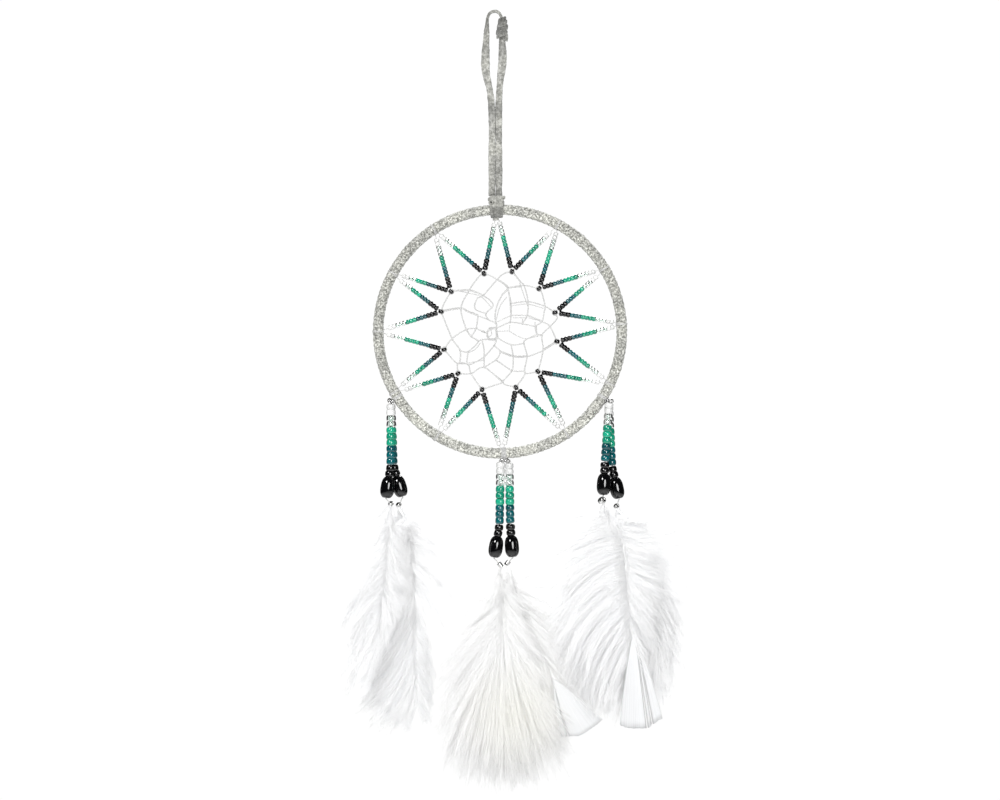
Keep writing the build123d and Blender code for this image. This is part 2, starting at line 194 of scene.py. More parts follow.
class Build:
    """Collects the meshes of one piece."""

    def __init__(self):
        self.verts, self.quads, self.tris, self.tone, self.count = [], [], [], [], 0

    def add(self, verts, quads=(), tris=(), tone=0.5):
        verts = np.asarray(verts, float).reshape(-1, 3)
        self.verts.append(verts)
        for faces, store in ((quads, self.quads), (tris, self.tris)):
            if len(faces):
                store.append(np.asarray(faces, int) + self.count)
        self.tone.append(np.broadcast_to(np.asarray(tone, float).ravel(), (len(verts),)))
        self.count += len(verts)

    def tube(self, points, radius, sides=8, plies=0, turns_per_mm=0.0, lobe=0.16, tone=0.5, squash=1.0):
        """A round or plied tube along a line; radius may differ from point to point."""
        across, deep = carried_frame(points)
        phi = circle(sides)
        s = distances(points) / MM
        r = column(radius, len(points)) * np.ones((1, sides))
        if plies:
            r = r * (1 - lobe + lobe * np.cos(plies * (phi[None, :] - 2 * pi * turns_per_mm * s[:, None] / plies)))
        ring = across[:, None] * (r * np.cos(phi))[..., None] + deep[:, None] * (r * np.sin(phi) * squash)[..., None]
        self.grid(points[:, None] + ring, False, tone)

    def grid(self, rings, closed, tone=0.5):
        """A closed-section skin over rings of points, capped at the ends unless the line is closed."""
        n, m = rings.shape[:2]
        i = np.arange(n if closed else n - 1)[:, None]
        j = np.arange(m)[None, :]
        i2, j2 = (i + 1) % n, (j + 1) % m
        quads = np.stack([i * m + j, i * m + j2, i2 * m + j2, i2 * m + j], -1).reshape(-1, 4)
        verts = rings.reshape(-1, 3)
        tris = []
        if not closed:
            verts = np.vstack([verts, rings[0].mean(0), rings[-1].mean(0)])
            k = np.arange(m)
            k2 = (k + 1) % m
            last = (n - 1) * m
            first_cap = np.stack([k2, k, np.full(m, n * m)], 1)
            last_cap = np.stack([last + k, last + k2, np.full(m, n * m + 1)], 1)
            tris = np.vstack([first_cap, last_cap])
            if np.size(tone) > 1:
                tone = np.concatenate([np.ravel(tone), [0.5, 0.5]])
        self.add(verts, quads, tris, tone)

    def ribbon(self, points, wide, half_width, half_thick, around=20, power=0.45, rough=0.0, tone=0.5, closed=False):
        """A flat strip with rounded edges.  wide is the direction of its width at each point."""
        t = tangents(points, closed)
        wide = unit(wide - t * np.sum(wide * t, 1, keepdims=True))
        thick = np.cross(t, wide)
        phi = circle(around)
        c, s = np.cos(phi), np.sin(phi)
        w = column(half_width, len(points)) * powered(c, power)
        h = column(half_thick, len(points)) * powered(s, 0.75)
        rings = points[:, None] + wide[:, None] * w[..., None] + thick[:, None] * h[..., None]
        if rough:
            flat = rings.reshape(-1, 3)
            bump = np.array([noise.noise(Vector(p) * 1400) + 0.7 * noise.noise(Vector(p) * 3100) for p in flat])
            centre = np.repeat(points, around, 0)
            flat = flat + unit(flat - centre) * (bump * rough)[:, None]
            rings = flat.reshape(rings.shape)
        self.grid(rings, closed, tone)

    def piece(self, name, material, body, replaces=()):
        faces = [face for store in (self.quads, self.tris) for block in store for face in block.tolist()]
        mesh = bpy.data.meshes.new(name)
        mesh.from_pydata(np.vstack(self.verts).tolist(), [], faces)
        layer = mesh.attributes.new("tone", "FLOAT", "POINT")
        layer.data.foreach_set("value", np.concatenate(self.tone).astype(np.float32))
        mesh.polygons.foreach_set("use_smooth", np.ones(len(mesh.polygons), bool))
        mesh.materials.append(material)
        mesh.update()
        obj = placed(name, mesh)
        if body:
            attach(obj, body)
        if replaces:
            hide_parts(*replaces)
        return obj


MERGE = 1e7  # vertices within a tenth of a micron are one


def islands(node):
    """The separate solids of a CAD node, each as (middle, axis of revolution, points)."""
    mesh = frame["nodes"][node].data
    co = np.zeros(len(mesh.vertices) * 3)
    mesh.vertices.foreach_get("co", co)
    co = co.reshape(-1, 3)
    keys, same = np.unique(np.round(co * MERGE).astype(np.int64), axis=0, return_inverse=True)
    same = same.ravel()
    edges = np.zeros(len(mesh.edges) * 2, int)
    mesh.edges.foreach_get("vertices", edges)
    a, b = same[edges.reshape(-1, 2)].T
    label = np.arange(len(keys))
    while True:
        low = np.minimum(label[a], label[b])
        new = label.copy()
        np.minimum.at(new, a, low)
        np.minimum.at(new, b, low)
        new = new[new]
        if (new == label).all():
            break
        label = new
    found = []
    points = keys / MERGE
    for root in np.unique(label):
        p = points[label == root]
        middle = (p.min(0) + p.max(0)) / 2 if len(p) < 8 else p.mean(0)
        values, vectors = np.linalg.eigh(np.cov((p - middle).T))
        odd = 0 if values[1] - values[0] > values[2] - values[1] else 2
        found.append((middle, vectors[:, odd], p))
    return found


def turned(build, middle, axis, diameter, length, hole, roundness, tone, around=24, section=14):
    """A bead with a rounded section and a hole through it."""
    axis = unit(np.asarray(axis, float))
    n1 = unit(np.cross(axis, (0.12, 0.95, 0.3)))
    n2 = np.cross(axis, n1)
    psi = circle(section)
    mid, half = (diameter + hole) / 4, (diameter - hole) / 4
    r = mid + half * powered(np.cos(psi), roundness)
    z = length / 2 * powered(np.sin(psi), roundness)
    phi = circle(around)
    spoke = n1[None] * np.cos(phi)[:, None] + n2[None] * np.sin(phi)[:, None]
    rings = middle + spoke[:, None] * r[None, :, None] + axis * z[None, :, None]
    build.grid(rings, True, tone)


def helix(middle, axis, radius, pitch, turns, start=0.0, points_per_turn=22):
    """A winding round an axis."""
    axis = unit(np.asarray(axis, float))
    n1 = unit(np.cross(axis, (0.0, 0.0, 1.0) if abs(axis[2]) < 0.9 else (1.0, 0.0, 0.0)))
    n2 = np.cross(axis, n1)
    a = np.linspace(0, turns, int(turns * points_per_turn) + 1)
    turn = 2 * pi * a + start
    out = n1 * np.cos(turn)[:, None] + n2 * np.sin(turn)[:, None]
    return middle + axis * ((a - turns / 2) * pitch)[:, None] + out * radius


# ---------------------------------------------------------------- materials


def nodes_of(name):
    material = bpy.data.materials.new(name)
    material.use_nodes = True
    tree = material.node_tree
    return material, tree, tree.nodes["Principled BSDF"]


def fill(tree, target, inputs):
    """Write each value on its socket; an output of another node is linked to it."""
    for socket, value in inputs.items():
        if isinstance(value, bpy.types.NodeSocket):
            tree.links.new(value, target.inputs[socket])
        else:
            target.inputs[socket].default_value = value


def node(tree, kind, inputs=None, **settings):
    made = tree.nodes.new(kind)
    for key, value in settings.items():
        setattr(made, key, value)
    fill(tree, made, inputs or {})
    return made


def speckle(tree, scale, detail=3.0, rough=0.6):
    """A noise in the piece's own coordinates."""
    place = node(tree, "ShaderNodeTexCoord").outputs["Object"]
    inputs = {"Scale": scale, "Detail": detail, "Roughness": rough, "Vector": place}
    return node(tree, "ShaderNodeTexNoise", inputs).outputs["Fac"]


def ramp(tree, source, *stops):
    made = node(tree, "ShaderNodeValToRGB", {"Fac": source})
    while len(made.color_ramp.elements) < len(stops):
        made.color_ramp.elements.new(0.5)
    for element, (at, colour) in zip(made.color_ramp.elements, stops):
        element.position = at
        element.color = (*grey(colour), 1)
    return made.outputs["Color"]


def grey(colour):
    """A single number stands for a grey of that value."""
    return (colour,) * 3 if isinstance(colour, float) else colour


def mixed(tree, factor, first, second, mode="MIX"):
    made = node(tree, "ShaderNodeMix", data_type="RGBA", blend_type=mode)
    for name, kind, value in (("Factor", "VALUE", factor), ("A", "RGBA", first), ("B", "RGBA", second)):
        target = next(s for s in made.inputs if s.name == name and s.type == kind)
        if isinstance(value, bpy.types.NodeSocket):
            tree.links.new(value, target)
        else:
            target.default_value = value if kind == "VALUE" else (*value, 1)
    return next(s for s in made.outputs if s.type == "RGBA")


def tone_of(tree):
    """The tone that each vertex carries from its Build."""
    return node(tree, "ShaderNodeAttribute", attribute_name="tone").outputs["Fac"]


def bumped(tree, shader, height, strength, distance):
    made = node(tree, "ShaderNodeBump", {"Strength": strength, "Distance": distance, "Height": height})
    tree.links.new(made.outputs["Normal"], shader.inputs["Normal"])


def suede(name, dark, mid, light, mottle, balance):
    """Napped suede: patches of brushed nap over a fine fibre speckle."""
    material, tree, shader = nodes_of(name)
    patches = speckle(tree, mottle, 4.0, 0.65)
    colour = ramp(tree, patches, (balance - 0.14, dark), (balance, mid), (balance + 0.13, light))
    broad = ramp(tree, speckle(tree, 130.0, 2.0), (0.38, 0.76), (0.62, (1.0, 1.0, 0.98)))
    # Painted light and shade: a vertex tone under 0.5 darkens the suede, one over 0.5 lightens it above its own
    # colour.
    shade = ramp(tree, tone_of(tree), (0.0, 0.28), (0.5, 1.0), (1.0, (1.15, 1.15, 1.13)))
    for layer in (broad, shade):
        colour = mixed(tree, 1.0, colour, layer, "MULTIPLY")
    fill(tree, shader, {
        "Base Color": colour, "Roughness": 0.92, "Sheen Weight": 0.25, "Sheen Roughness": 0.6,
        "Specular IOR Level": 0.25,
    })
    bumped(tree, shader, speckle(tree, 2600.0, 4.0, 0.7), 0.7, 0.0003)
    return material


def thread_material(name, colour, shadow):
    """Spun thread, a little greyer between its plies."""
    material, tree, shader = nodes_of(name)
    base = ramp(tree, speckle(tree, 1500.0), (0.3, shadow), (0.6, colour))
    fill(tree, shader, {"Base Color": base, "Roughness": 0.6, "Sheen Weight": 0.2})
    bumped(tree, shader, speckle(tree, 4200.0, 2.0), 0.4, 0.00015)
    return material


def bead_material(name, dark, light, roughness, coat):
    """Pressed glass: each bead a slightly different tone, faintly streaked."""
    material, tree, shader = nodes_of(name)
    base = ramp(tree, tone_of(tree), (0.0, dark), (1.0, light))
    streak = ramp(tree, speckle(tree, 620.0), (0.3, 0.84), (0.7, 1.0))
    fill(tree, shader, {
        "Base Color": mixed(tree, 1.0, base, streak, "MULTIPLY"), "Roughness": roughness,
        "Coat Weight": coat, "Coat Roughness": 0.04,
    })
    bumped(tree, shader, speckle(tree, 900.0, 2.0), 0.12, 0.0001)
    return material


wrap_suede = suede("wrap_suede", (0.09, 0.09, 0.082), (0.31, 0.312, 0.285), (0.68, 0.68, 0.64), 1150.0, 0.485)
lace_suede = suede("lace_suede", (0.155, 0.155, 0.143), (0.265, 0.265, 0.248), (0.41, 0.41, 0.39), 820.0, 0.51)
star_thread_look = thread_material("star_thread_look", (0.50, 0.50, 0.49), 0.34)
web_look = thread_material("web_look", (0.42, 0.42, 0.415), 0.33)
white_glass = bead_material("white_glass", (0.47, 0.475, 0.47), (0.66, 0.66, 0.655), 0.2, 0.4)
green_glass = bead_material("green_glass", (0.002, 0.135, 0.082), (0.010, 0.32, 0.19), 0.1, 0.4)
teal_glass = bead_material("teal_glass", (0.0003, 0.036, 0.044), (0.001, 0.095, 0.108), 0.1, 0.4)
black_glass = bead_material("black_glass", (0.0003, 0.0003, 0.0006), (0.002, 0.002, 0.0023), 0.1, 0.15)


def clear_glass_look():
    material, tree, shader = nodes_of("clear_glass")
    base = ramp(tree, tone_of(tree), (0.0, (0.70, 0.86, 0.78)), (1.0, (0.93, 0.97, 0.95)))
    fill(tree, shader, {"Base Color": base, "Transmission Weight": 1.0, "IOR": 1.5, "Roughness": 0.03})
    bumped(tree, shader, speckle(tree, 700.0, 2.0), 0.1, 0.0001)
    return material


def silver_look(name, roughness, dark, light):
    material, tree, shader = nodes_of(name)
    base = ramp(tree, speckle(tree, 900.0), (0.35, dark), (0.6, light))
    fill(tree, shader, {"Base Color": base, "Metallic": 1.0, "Roughness": roughness})
    bumped(tree, shader, speckle(tree, 1800.0, 2.0), 0.25, 0.00012)
    return material


clear_glass = clear_glass_look()
silver = silver_look("silver", 0.16, 0.32, (0.66, 0.66, 0.65))
lining = silver_look("silver_lining", 0.3, (0.62, 0.72, 0.66), (0.93, 0.98, 0.95))

FEATHER_LIFT = 0.125  # a faint glow, for the light that bounces many times inside the down


def feather_look(name, white, shadow, tint=None, tint_at=None):
    """Down and barbs: white, with painted shade, a cooler grey where the barbs lie deep and grey on the flat vane;
    thin enough to let light through.
    """
    material, tree, shader = nodes_of(name)
    base = ramp(
        tree, tone_of(tree),
        (0.0, (0.55, 0.55, 0.555)), (0.14, (0.78, 0.785, 0.79)), (0.24, shadow), (0.55, white), (1.0, 0.995),
    )
    if tint:
        place = node(tree, "ShaderNodeTexCoord").outputs["Object"]
        far = node(tree, "ShaderNodeVectorMath", {0: place, 1: tint_at}, operation="DISTANCE").outputs["Value"]
        fade = node(tree, "ShaderNodeMapRange", {
            "From Min": 0.004, "From Max": 0.032, "To Min": 1.0, "To Max": 0.0, "Value": far,
        })
        base = mixed(tree, fade.outputs["Result"], base, mixed(tree, 1.0, base, tint, "MULTIPLY"))
    fill(tree, shader, {
        "Base Color": base, "Roughness": 0.65, "Specular IOR Level": 0.3, "Sheen Weight": 0.15,
        "Emission Color": (1.0, 1.0, 1.0, 1.0), "Emission Strength": FEATHER_LIFT,
    })
    through = node(tree, "ShaderNodeBsdfTranslucent", {"Color": base})
    both = node(tree, "ShaderNodeMixShader", {
        "Fac": 0.5, 1: shader.outputs["BSDF"], 2: through.outputs["BSDF"],
    })
    tree.links.new(both.outputs["Shader"], tree.nodes["Material Output"].inputs["Surface"])
    return material


WARM_PLACE = (0.010, 0.0, -0.350)  # the middle pendant's fan is faintly cream there
feather_cool = feather_look("feather_cool", (0.990, 0.991, 0.992), (0.85, 0.86, 0.88))
feather_warm = feather_look("feather_warm", (0.991, 0.991, 0.988), 0.87, (1.0, 0.997, 0.975), WARM_PLACE)
quill_look = feather_look("quill", 0.93, (0.85, 0.85, 0.86))

# ---------------------------------------------------------------- the hanging lace, a free cord

lace_line = nurbs_line(LACE_ROUTE)
lace_t = tangents(lace_line)
in_plane = np.stack([lace_t[:, 2], np.zeros(len(lace_t)), -lace_t[:, 0]], 1)
rise = lace_line[:, 2] / MM
side_turn = pi / 2 * smoothstep((rise + 13) / 12)
wave = 0.16 * np.sin(rise / 9.0) + 0.10 * np.sin(rise / 3.7 + 1.0)
turn = side_turn + wave * (1 - smoothstep((rise + 20) / 12))
lace_wide = in_plane * np.cos(turn)[:, None] + np.array((0, 1.0, 0)) * np.sin(turn)[:, None]
lower = smoothstep((-rise - 30) / 25)
edge_noise = np.array([noise.noise(Vector(p) * 420) for p in lace_line])
twist_bulge = 0.62 * np.exp(-(((rise + 25) / 9) ** 2))
lace_half = MM * (1.5 + 0.22 * lower + twist_bulge + 0.08 * np.sin(rise / 4.3) + 0.22 * edge_noise)
LACE_AROUND = 26
# Painted shade: both edges of the lace strip are darker, as where its strands meet; the waves along it vary its
# tone.
lace_edges = np.abs(np.cos(circle(LACE_AROUND))) ** 6
lace_tone_and_edge_shade = (0.52 + 0.14 * np.sin(rise / 6.1) + 0.10 * np.sin(rise / 2.3))[:, None] - 0.26 * lace_edges
hanging_lace = Build()
hanging_lace.ribbon(
    lace_line, lace_wide, lace_half, MM * LACE_THICKNESS / 2, LACE_AROUND, rough=0.12 * MM, tone=lace_tone_and_edge_shade.ravel()
)
lace = hanging_lace.piece("hanging_lace_suede", lace_suede, None, ["hanging_lace"])

# The tied end: the lace wound four times round its right strand, slanting, with its cut tail.
knot_low, knot_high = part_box("lace_end_knot")
knot_middle = np.array((knot_low + knot_high) / 2)
knot = Build()
KNOT_STEPS, KNOT_AROUND = 64, 16
# Height on the knot, radius, slant, tone.
KNOT_WRAPS = ((-3.2, 2.25, 0.34, 0.40), (-0.7, 2.3, 0.50, 0.34), (1.8, 2.1, 0.46, 0.42), (3.8, 1.7, 0.40, 0.30))
phi = circle(KNOT_STEPS)
for number, (height, radius, slant, tone) in enumerate(KNOT_WRAPS):
    swell = 1 + 0.10 * np.sin(phi * 2 + number * 1.7)
    level = height + radius * slant * np.cos(phi) + 0.25 * np.sin(3 * phi + number)
    ring = knot_middle + MM * np.stack([radius * swell * np.cos(phi), radius * swell * np.sin(phi), level], 1)
    up = np.tile((0.12, 0.0, 1.0), (KNOT_STEPS, 1))
    edge = 0.5 + 0.5 * np.cos(circle(KNOT_AROUND))
    # Painted shade: each wrap is darker towards its upper edge, in the crease against the next wrap.
    tones = np.tile(tone - 0.42 * edge, KNOT_STEPS)
    knot.ribbon(ring, up, 1.32 * MM, 0.52 * MM, KNOT_AROUND, 0.6, 0.06 * MM, tones, closed=True)
KNOT_TAIL = ((1.2, -1.4, -2.2), (2.0, -1.5, -3.4), (2.2, -1.0, -5.2), (1.8, -0.8, -6.6))
tail = smooth_line(knot_middle + MM * np.array(KNOT_TAIL), 0.3 * MM)
knot.ribbon(tail, np.tile((0.9, -0.4, 0.1), (len(tail), 1)), 0.9 * MM, 0.5 * MM, 14, 0.6, 0.05 * MM, 0.35)
end_knot = knot.piece("lace_end_knot_wraps", lace_suede, "lace", ["lace_end_knot"])

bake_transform(lace)

# ---------------------------------------------------------------- the hoop

wrap_low, wrap_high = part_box("hoop_wrap")
hoop_middle = np.array((wrap_low + wrap_high) / 2)
tube_radius = (wrap_high.y - wrap_low.y) / 2
hoop_radius = (wrap_high.x - wrap_low.x) / 2 - tube_radius
hitch_low, hitch_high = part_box("lace_hitch")
hitch_x = (hitch_low.x + hitch_high.x) / 2
hitch_angle = pi / 2 - (hitch_x - hoop_middle[0]) / hoop_radius


def hoop_point(angle):
    """A point on the middle line of the hoop's tube, at that angle."""
    x, z = hoop_middle[0] + hoop_radius * np.cos(angle), hoop_middle[2] + hoop_radius * np.sin(angle)
    return np.stack([x, hoop_middle[1] + 0 * angle, z], -1)


WRAP_TURNS, PER_TURN, ROUND = 126, 15, 44
theta = circle(WRAP_TURNS * PER_TURN)
phi = circle(ROUND)
TH, PH = np.meshgrid(theta, phi, indexing="ij")
unevenness = 0.35 * np.sin(5 * TH + 1.3) + 0.22 * np.sin(11 * TH + 0.4) + 0.12 * np.sin(29 * TH)
winding = TH * WRAP_TURNS / (2 * pi) + PH / (2 * pi) + unevenness
share = winding - np.floor(winding)
LAP_EDGE = 0.86  # share of a turn where its edge is
# Each turn rises to its edge, then drops.
lap = np.where(share < LAP_EDGE, share / LAP_EDGE, (1 - share) / 0.14)
# Where the wrap lies in a heap: angle round the hoop, spread, height.
SEAMS = (
    (2.42, 0.050, 1.0), (0.86, 0.045, 0.8), (0.52, 0.035, 0.5),
    (3.72, 0.05, 0.9), (5.6, 0.045, 0.8), (4.85, 0.03, 0.5),
)
seam = np.zeros_like(TH)
for at, width, height in SEAMS:
    seam += height * np.exp(-(((TH - at + 0.03 * np.sin(PH)) / width) ** 2)) * (0.6 + 0.4 * np.cos(PH * 2 + at))
nap = np.array([
    noise.noise(Vector((a * 58, b * 2.4, 3.0))) + 0.8 * noise.noise(Vector((a * 150, b * 6.2, 7.0)))
    for a, b in zip(TH.ravel(), PH.ravel())
]).reshape(TH.shape)
away = 1 - np.exp(-(((TH - hitch_angle) / 0.085) ** 2) ** 2)  # smooth and low under the hitch
SINK, LAP_RISE, NAP_RISE, SEAM_RISE = -0.10, 0.26, 0.16, 0.30  # mm
rr = tube_radius + MM * (SINK + away * (LAP_RISE * lap + NAP_RISE * nap + SEAM_RISE * seam))
out = hoop_radius + rr * np.cos(PH)
rings = hoop_middle + np.stack([out * np.cos(TH), rr * np.sin(PH), out * np.sin(TH)], -1)
wrap = Build()
# Painted shade: each turn is darker past its edge, in the crease where it drops under the next turn; the nap varies
# its tone.
lap_crease_shade = np.where(share > LAP_EDGE, -0.22, 0.0) + 0.10 * (share - 0.5)
# Painted shade: the hoop is darker at its left and right and towards its top, lighter at its bottom.
sides = 0.10 * np.cos(TH) ** 2 + 0.05 * np.sin(TH)
wrap_tone_and_shade = np.clip(0.52 + lap_crease_shade * away + 0.24 * nap - 0.06 * seam - sides, 0, 1)
wrap.grid(rings, True, wrap_tone_and_shade)
wrap.piece("hoop_wrap_suede", wrap_suede, "hoop", ["hoop_wrap"])

ring_node = frame["nodes"]["hoop_ring"]
steel = silver_look("ring_steel", 0.3, (0.35, 0.35, 0.34), (0.6, 0.6, 0.59))
ring_node.data.materials.clear()
ring_node.data.materials.append(steel)

# ---------------------------------------------------------------- the hitch

hitch = Build()
hitch_top = hitch_high.z
LOOP_AROUND = 22
for offset in (-1.5, 1.5):
    at = hitch_angle - offset * MM / hoop_radius
    centre = hoop_point(np.array(at))
    out = np.array((cos(at), 0.0, sin(at)))
    loop_radius = tube_radius + 0.95 * MM
    lead = hitch_top - 0.2 * MM - centre[2]
    sweep = np.linspace(radians(62), radians(298), 46)
    front = [centre + out * lead + FRONT * 1.3 * MM, centre + out * lead * 0.78 + FRONT * 2.0 * MM]
    back = [centre + out * lead * 0.78 - FRONT * 2.0 * MM, centre + out * lead - FRONT * 1.3 * MM]
    around = [centre + (out * cos(a) + FRONT * sin(a)) * loop_radius for a in sweep]
    line = smooth_line(np.array(front + around + back), 0.3 * MM)
    along_hoop = np.tile((-sin(at), 0.0, cos(at)), (len(line), 1))
    # Painted shade: each loop is darker towards its bottom, under the hoop, and lighter on top.
    loop_painted_shade = 0.2 + 0.8 * smoothstep((line[:, 2] - centre[2] - 0.2 * MM) / (2.2 * MM))
    wobble = 1.66 * MM + 0.08 * MM * np.sin(np.linspace(0, 9, len(line)) + offset)
    hitch.ribbon(
        line, along_hoop, wobble, 0.62 * MM, LOOP_AROUND, 0.5, 0.07 * MM, np.repeat(loop_painted_shade, LOOP_AROUND)
    )


def hitch_strip(points, wide, half_width, half_thick, around, rough, tone):
    """A strip of the hitch whose width points one way all along."""
    hitch.ribbon(
        points, np.tile(wide, (len(points), 1)), half_width * MM, half_thick * MM, around, 0.6, rough * MM, tone
    )


def from_hitch_top(x, y, z):
    return np.array((hitch_x + x * MM, y * MM, hitch_top + z * MM))


# The head: the lace drawn together, with two bands round it; painted light makes the head and upper band lighter and
# the lower band darker.
HEAD_BANDS = ((3.9, 2.1, -1.2, 0.12, 0.8, 0.95), (3.4, 1.95, -3.4, -0.072, 1.2, 0.72))
for half_x, half_y, drop, slope, half, tone in HEAD_BANDS:
    a = circle(90)
    px = powered(np.cos(a), 0.6) * half_x
    py = powered(np.sin(a), 0.6) * half_y
    band = np.stack([hitch_x + MM * px, MM * py, hitch_top + MM * (drop + slope * px)], 1)
    hitch.ribbon(band, np.tile((0.05, 0, 1.0), (90, 1)), half * MM, 0.5 * MM, 18, 0.55, 0.07 * MM, tone, closed=True)
core = smooth_line(np.array([from_hitch_top(0, 0, z) for z in (-0.3, -2.2, -3.6)]), 0.3 * MM)
hitch_strip(core, (1.0, 0, 0), 3.5, 1.6, 30, 0.08, 1.0)
# The small curled end at the head's left, with a dark tube in its middle as painted shadow in the curl's hole.
curl_axis = (0.25, -0.95, 0)
curl = helix(from_hitch_top(-2.8, -3.7, -3.5), curl_axis, 0.9 * MM, 0.25 * MM, 1.15, 0.4, 26)
hitch_strip(curl, curl_axis, 0.7, 0.34, 12, 0.04, 1.0)
dark = np.array([from_hitch_top(-2.9, y, -3.5) for y in np.linspace(-4.05, -2.9, 4)])
hitch.tube(dark, 0.62 * MM, 14, tone=0.0)
# The bit of lace that comes out under the hoop, over the star's top threads.
below = hitch_low.z - hitch_top
tail = np.array([from_hitch_top(x, -0.7, below / MM + z) for x, z in ((-0.5, 0.8), (-0.4, -0.9))])
hitch_strip(smooth_line(tail, 0.2 * MM), (1.0, 0, 0), 1.5, 0.45, 16, 0.06, 0.6)
hitch.piece("lace_hitch_wraps", lace_suede, "hitch", ["lace_hitch"])

# ---------------------------------------------------------------- beads


def across_axis(middle, axis, points):
    """How far the points reach along a bead's axis, and each point's distance from it."""
    along = (points - middle) @ axis
    return np.ptp(along), np.linalg.norm(points - middle - along[:, None] * axis, axis=1)


def bead_row(name, material, body, places, replaces, roundness=1.0, tones=(0.1, 0.9), around=22, grow=1.0):
    """Fresh turned beads at the CAD beads' places, each a little different."""
    build = Build()
    for middle, axis, points in places:
        length, reach = across_axis(middle, axis, points)
        tilt = axis + rng.normal(0, 0.06, 3)
        diameter = 2 * reach.max() * grow * (1 + rng.normal(0, 0.025))
        length *= 1.06 * (1 + rng.normal(0, 0.03))
        tone = rng.uniform(*tones)
        turned(build, middle, tilt, diameter, length, 2 * reach.min(), roundness, tone, around, 16)
    return build.piece(name, material, body, replaces)


def lined(name, body, places):
    """The silver lining in the holes of clear beads."""
    build = Build()
    for middle, axis, points in places:
        length, reach = across_axis(middle, axis, points)
        line = middle + axis * np.linspace(-0.43 * length, 0.43 * length, 5)[:, None]
        build.tube(line, reach.min() * np.array((1.02, 1.12, 1.15, 1.12, 1.02)), 14)
    return build.piece(name, lining, body)


BLACK_GROWTH = 1.13  # so that the black beads at the star's points close up, as in the photograph
STAR_GLASS = {
    "white": white_glass, "clear": clear_glass, "green": green_glass, "teal": teal_glass, "black": black_glass,
}
for colour, material in STAR_GLASS.items():
    places = islands(f"star_{colour}_beads")
    grow = BLACK_GROWTH if colour == "black" else 1.0
    bead_row(f"star_{colour}_glass", material, "hoop", places, [f"star_{colour}_beads"], grow=grow)
    if colour == "clear":
        lined("star_clear_lining", "hoop", places)

# ---------------------------------------------------------------- star thread and web

# Each thread of the star runs in from the hoop through a string's beads, across through the black
# bead at the inner point, and out again through the next string.
LONGEST_CROSSING = 3 * MM
runs, across_runs = [], []
for middle, axis, points in islands("star_thread"):
    along = (points - middle) @ axis
    ends = middle + axis * along.min(), middle + axis * along.max()
    if np.ptp(along) < LONGEST_CROSSING:
        across_runs.append((middle, ends))
    else:
        runs.append(sorted(ends, key=lambda e: np.linalg.norm(e - hoop_middle)))
star = Build()
for middle, ends in across_runs:
    near = sorted(runs, key=lambda r: np.linalg.norm(r[0] - middle))[:2]
    side = sorted(ends, key=lambda e: np.linalg.norm(e - near[0][0]))
    path = []
    for (inner, outer), entry in ((near[0], side[0]), (near[1], side[1])):
        direction = unit(outer - inner)
        reach = outer + direction * 0.5 * MM
        outward = unit(outer - hoop_middle)
        anchor = hoop_middle + outward * (hoop_radius - tube_radius * 0.6) + FRONT * 2.0 * MM
        inset = direction * 2 * MM
        half = [anchor, reach, outer - inset, (inner + outer) / 2, inner + inset, inner, entry]
        path += half if not path else half[::-1]
    star.tube(smooth_line(np.array(path), 0.28 * MM), 0.25 * MM, 8, 2, 0.55, 0.16)
star.piece("star_thread_twisted", star_thread_look, "hoop", ["star_thread"])


def thread_turns(name, node_name, out, pitch, turns, start):
    """Turns of thread round the hoop's tube, at each of the node's places."""
    build = Build()
    for middle, _, _ in islands(node_name):
        at = np.arctan2(middle[2] - hoop_middle[2], middle[0] - hoop_middle[0])
        axis = (-sin(at), 0.0, cos(at))
        winding = helix(hoop_point(np.array(at)), axis, tube_radius + out * MM, pitch * MM, turns, start, 40)
        build.tube(winding, 0.2 * MM, 7, 2, 0.55, 0.14)
    build.piece(name, star_thread_look, "hoop", [node_name])


thread_turns("star_thread_loops", "star_thread_turns", 0.26, 0.42, 2.4, 0.3)
thread_turns("pendant_tie_threads", "pendant_ties", 0.27, 0.40, 4.2, 1.0)

# The web's junctions and the star's inner points (capitals), across and up from the hoop's middle,
# in mm, from part.py.
WEB_PLACES = """
    e1 -5 28, f1 2 29, c1 -10.5 27.5, e2 -1.5 26, g1 10 25, e3 4 22, g2 12 23, c2 -15.5 20.5, b3 -8.5 18,
    e4 1 18, h1 4.5 19, i0 21 19, bb1 -11.5 16.5, g3 14 15, b4 -3.5 13.5, e5 -1.5 13, h2 5.5 14, i1 22.5 12.5,
    d1 -28 14, a1 -19.5 11.5, bb2 -12.5 11.5, a2 -16.5 10, b5 -7 9, a3 -11 8, e6 -2.5 8, h3 5.5 8, g5 13.5 8,
    k1 22 9.5, l1 28.5 6.5, a4 -6 6, a6 -2 4, h4 5 4.5, p1 11 4, j1 21 5, j2 25 2.5, o1 18 2.5, y1 -17 1,
    aa1 -12 1.5, aa2 -9.5 0.5, o2 18.5 -1.5, x1 -24 -3.5, z2 -14.5 -2.5, p3 13 -4, m1 21 -2, z3 -11 -5,
    z4 -9 -4, r2 5.5 -6.5, p4 12 -6, w1 -20 -9.5, x2 -16 -10, z5 -8 -9, z8 -3 -7, t1 0 -10, m2 21.5 -9.5,
    z7 -8 -13, n3 6.5 -12.5, n2 13.5 -12.5, v2 -21 -16, v1 -16 -16.5, t2 -2 -14, u2 -8 -18, s1 6 -19.5,
    p5 12.5 -20.5, u3 -14.5 -21, s2 1.5 -25.5, r0 -2 1.5, r1 -1.5 -3, r3 -5.5 -4, r4 -6.5 -0.5, r5 -4.5 1.5,
    B 6 30, C 19.5 21.5, D 27.5 9.5, E 28.5 -5, F 19 -20, G 8 -28, H -9 -29, I -21 -21, J -28 -9, K -29.5 10,
    L -24.5 20, A -8 29
"""
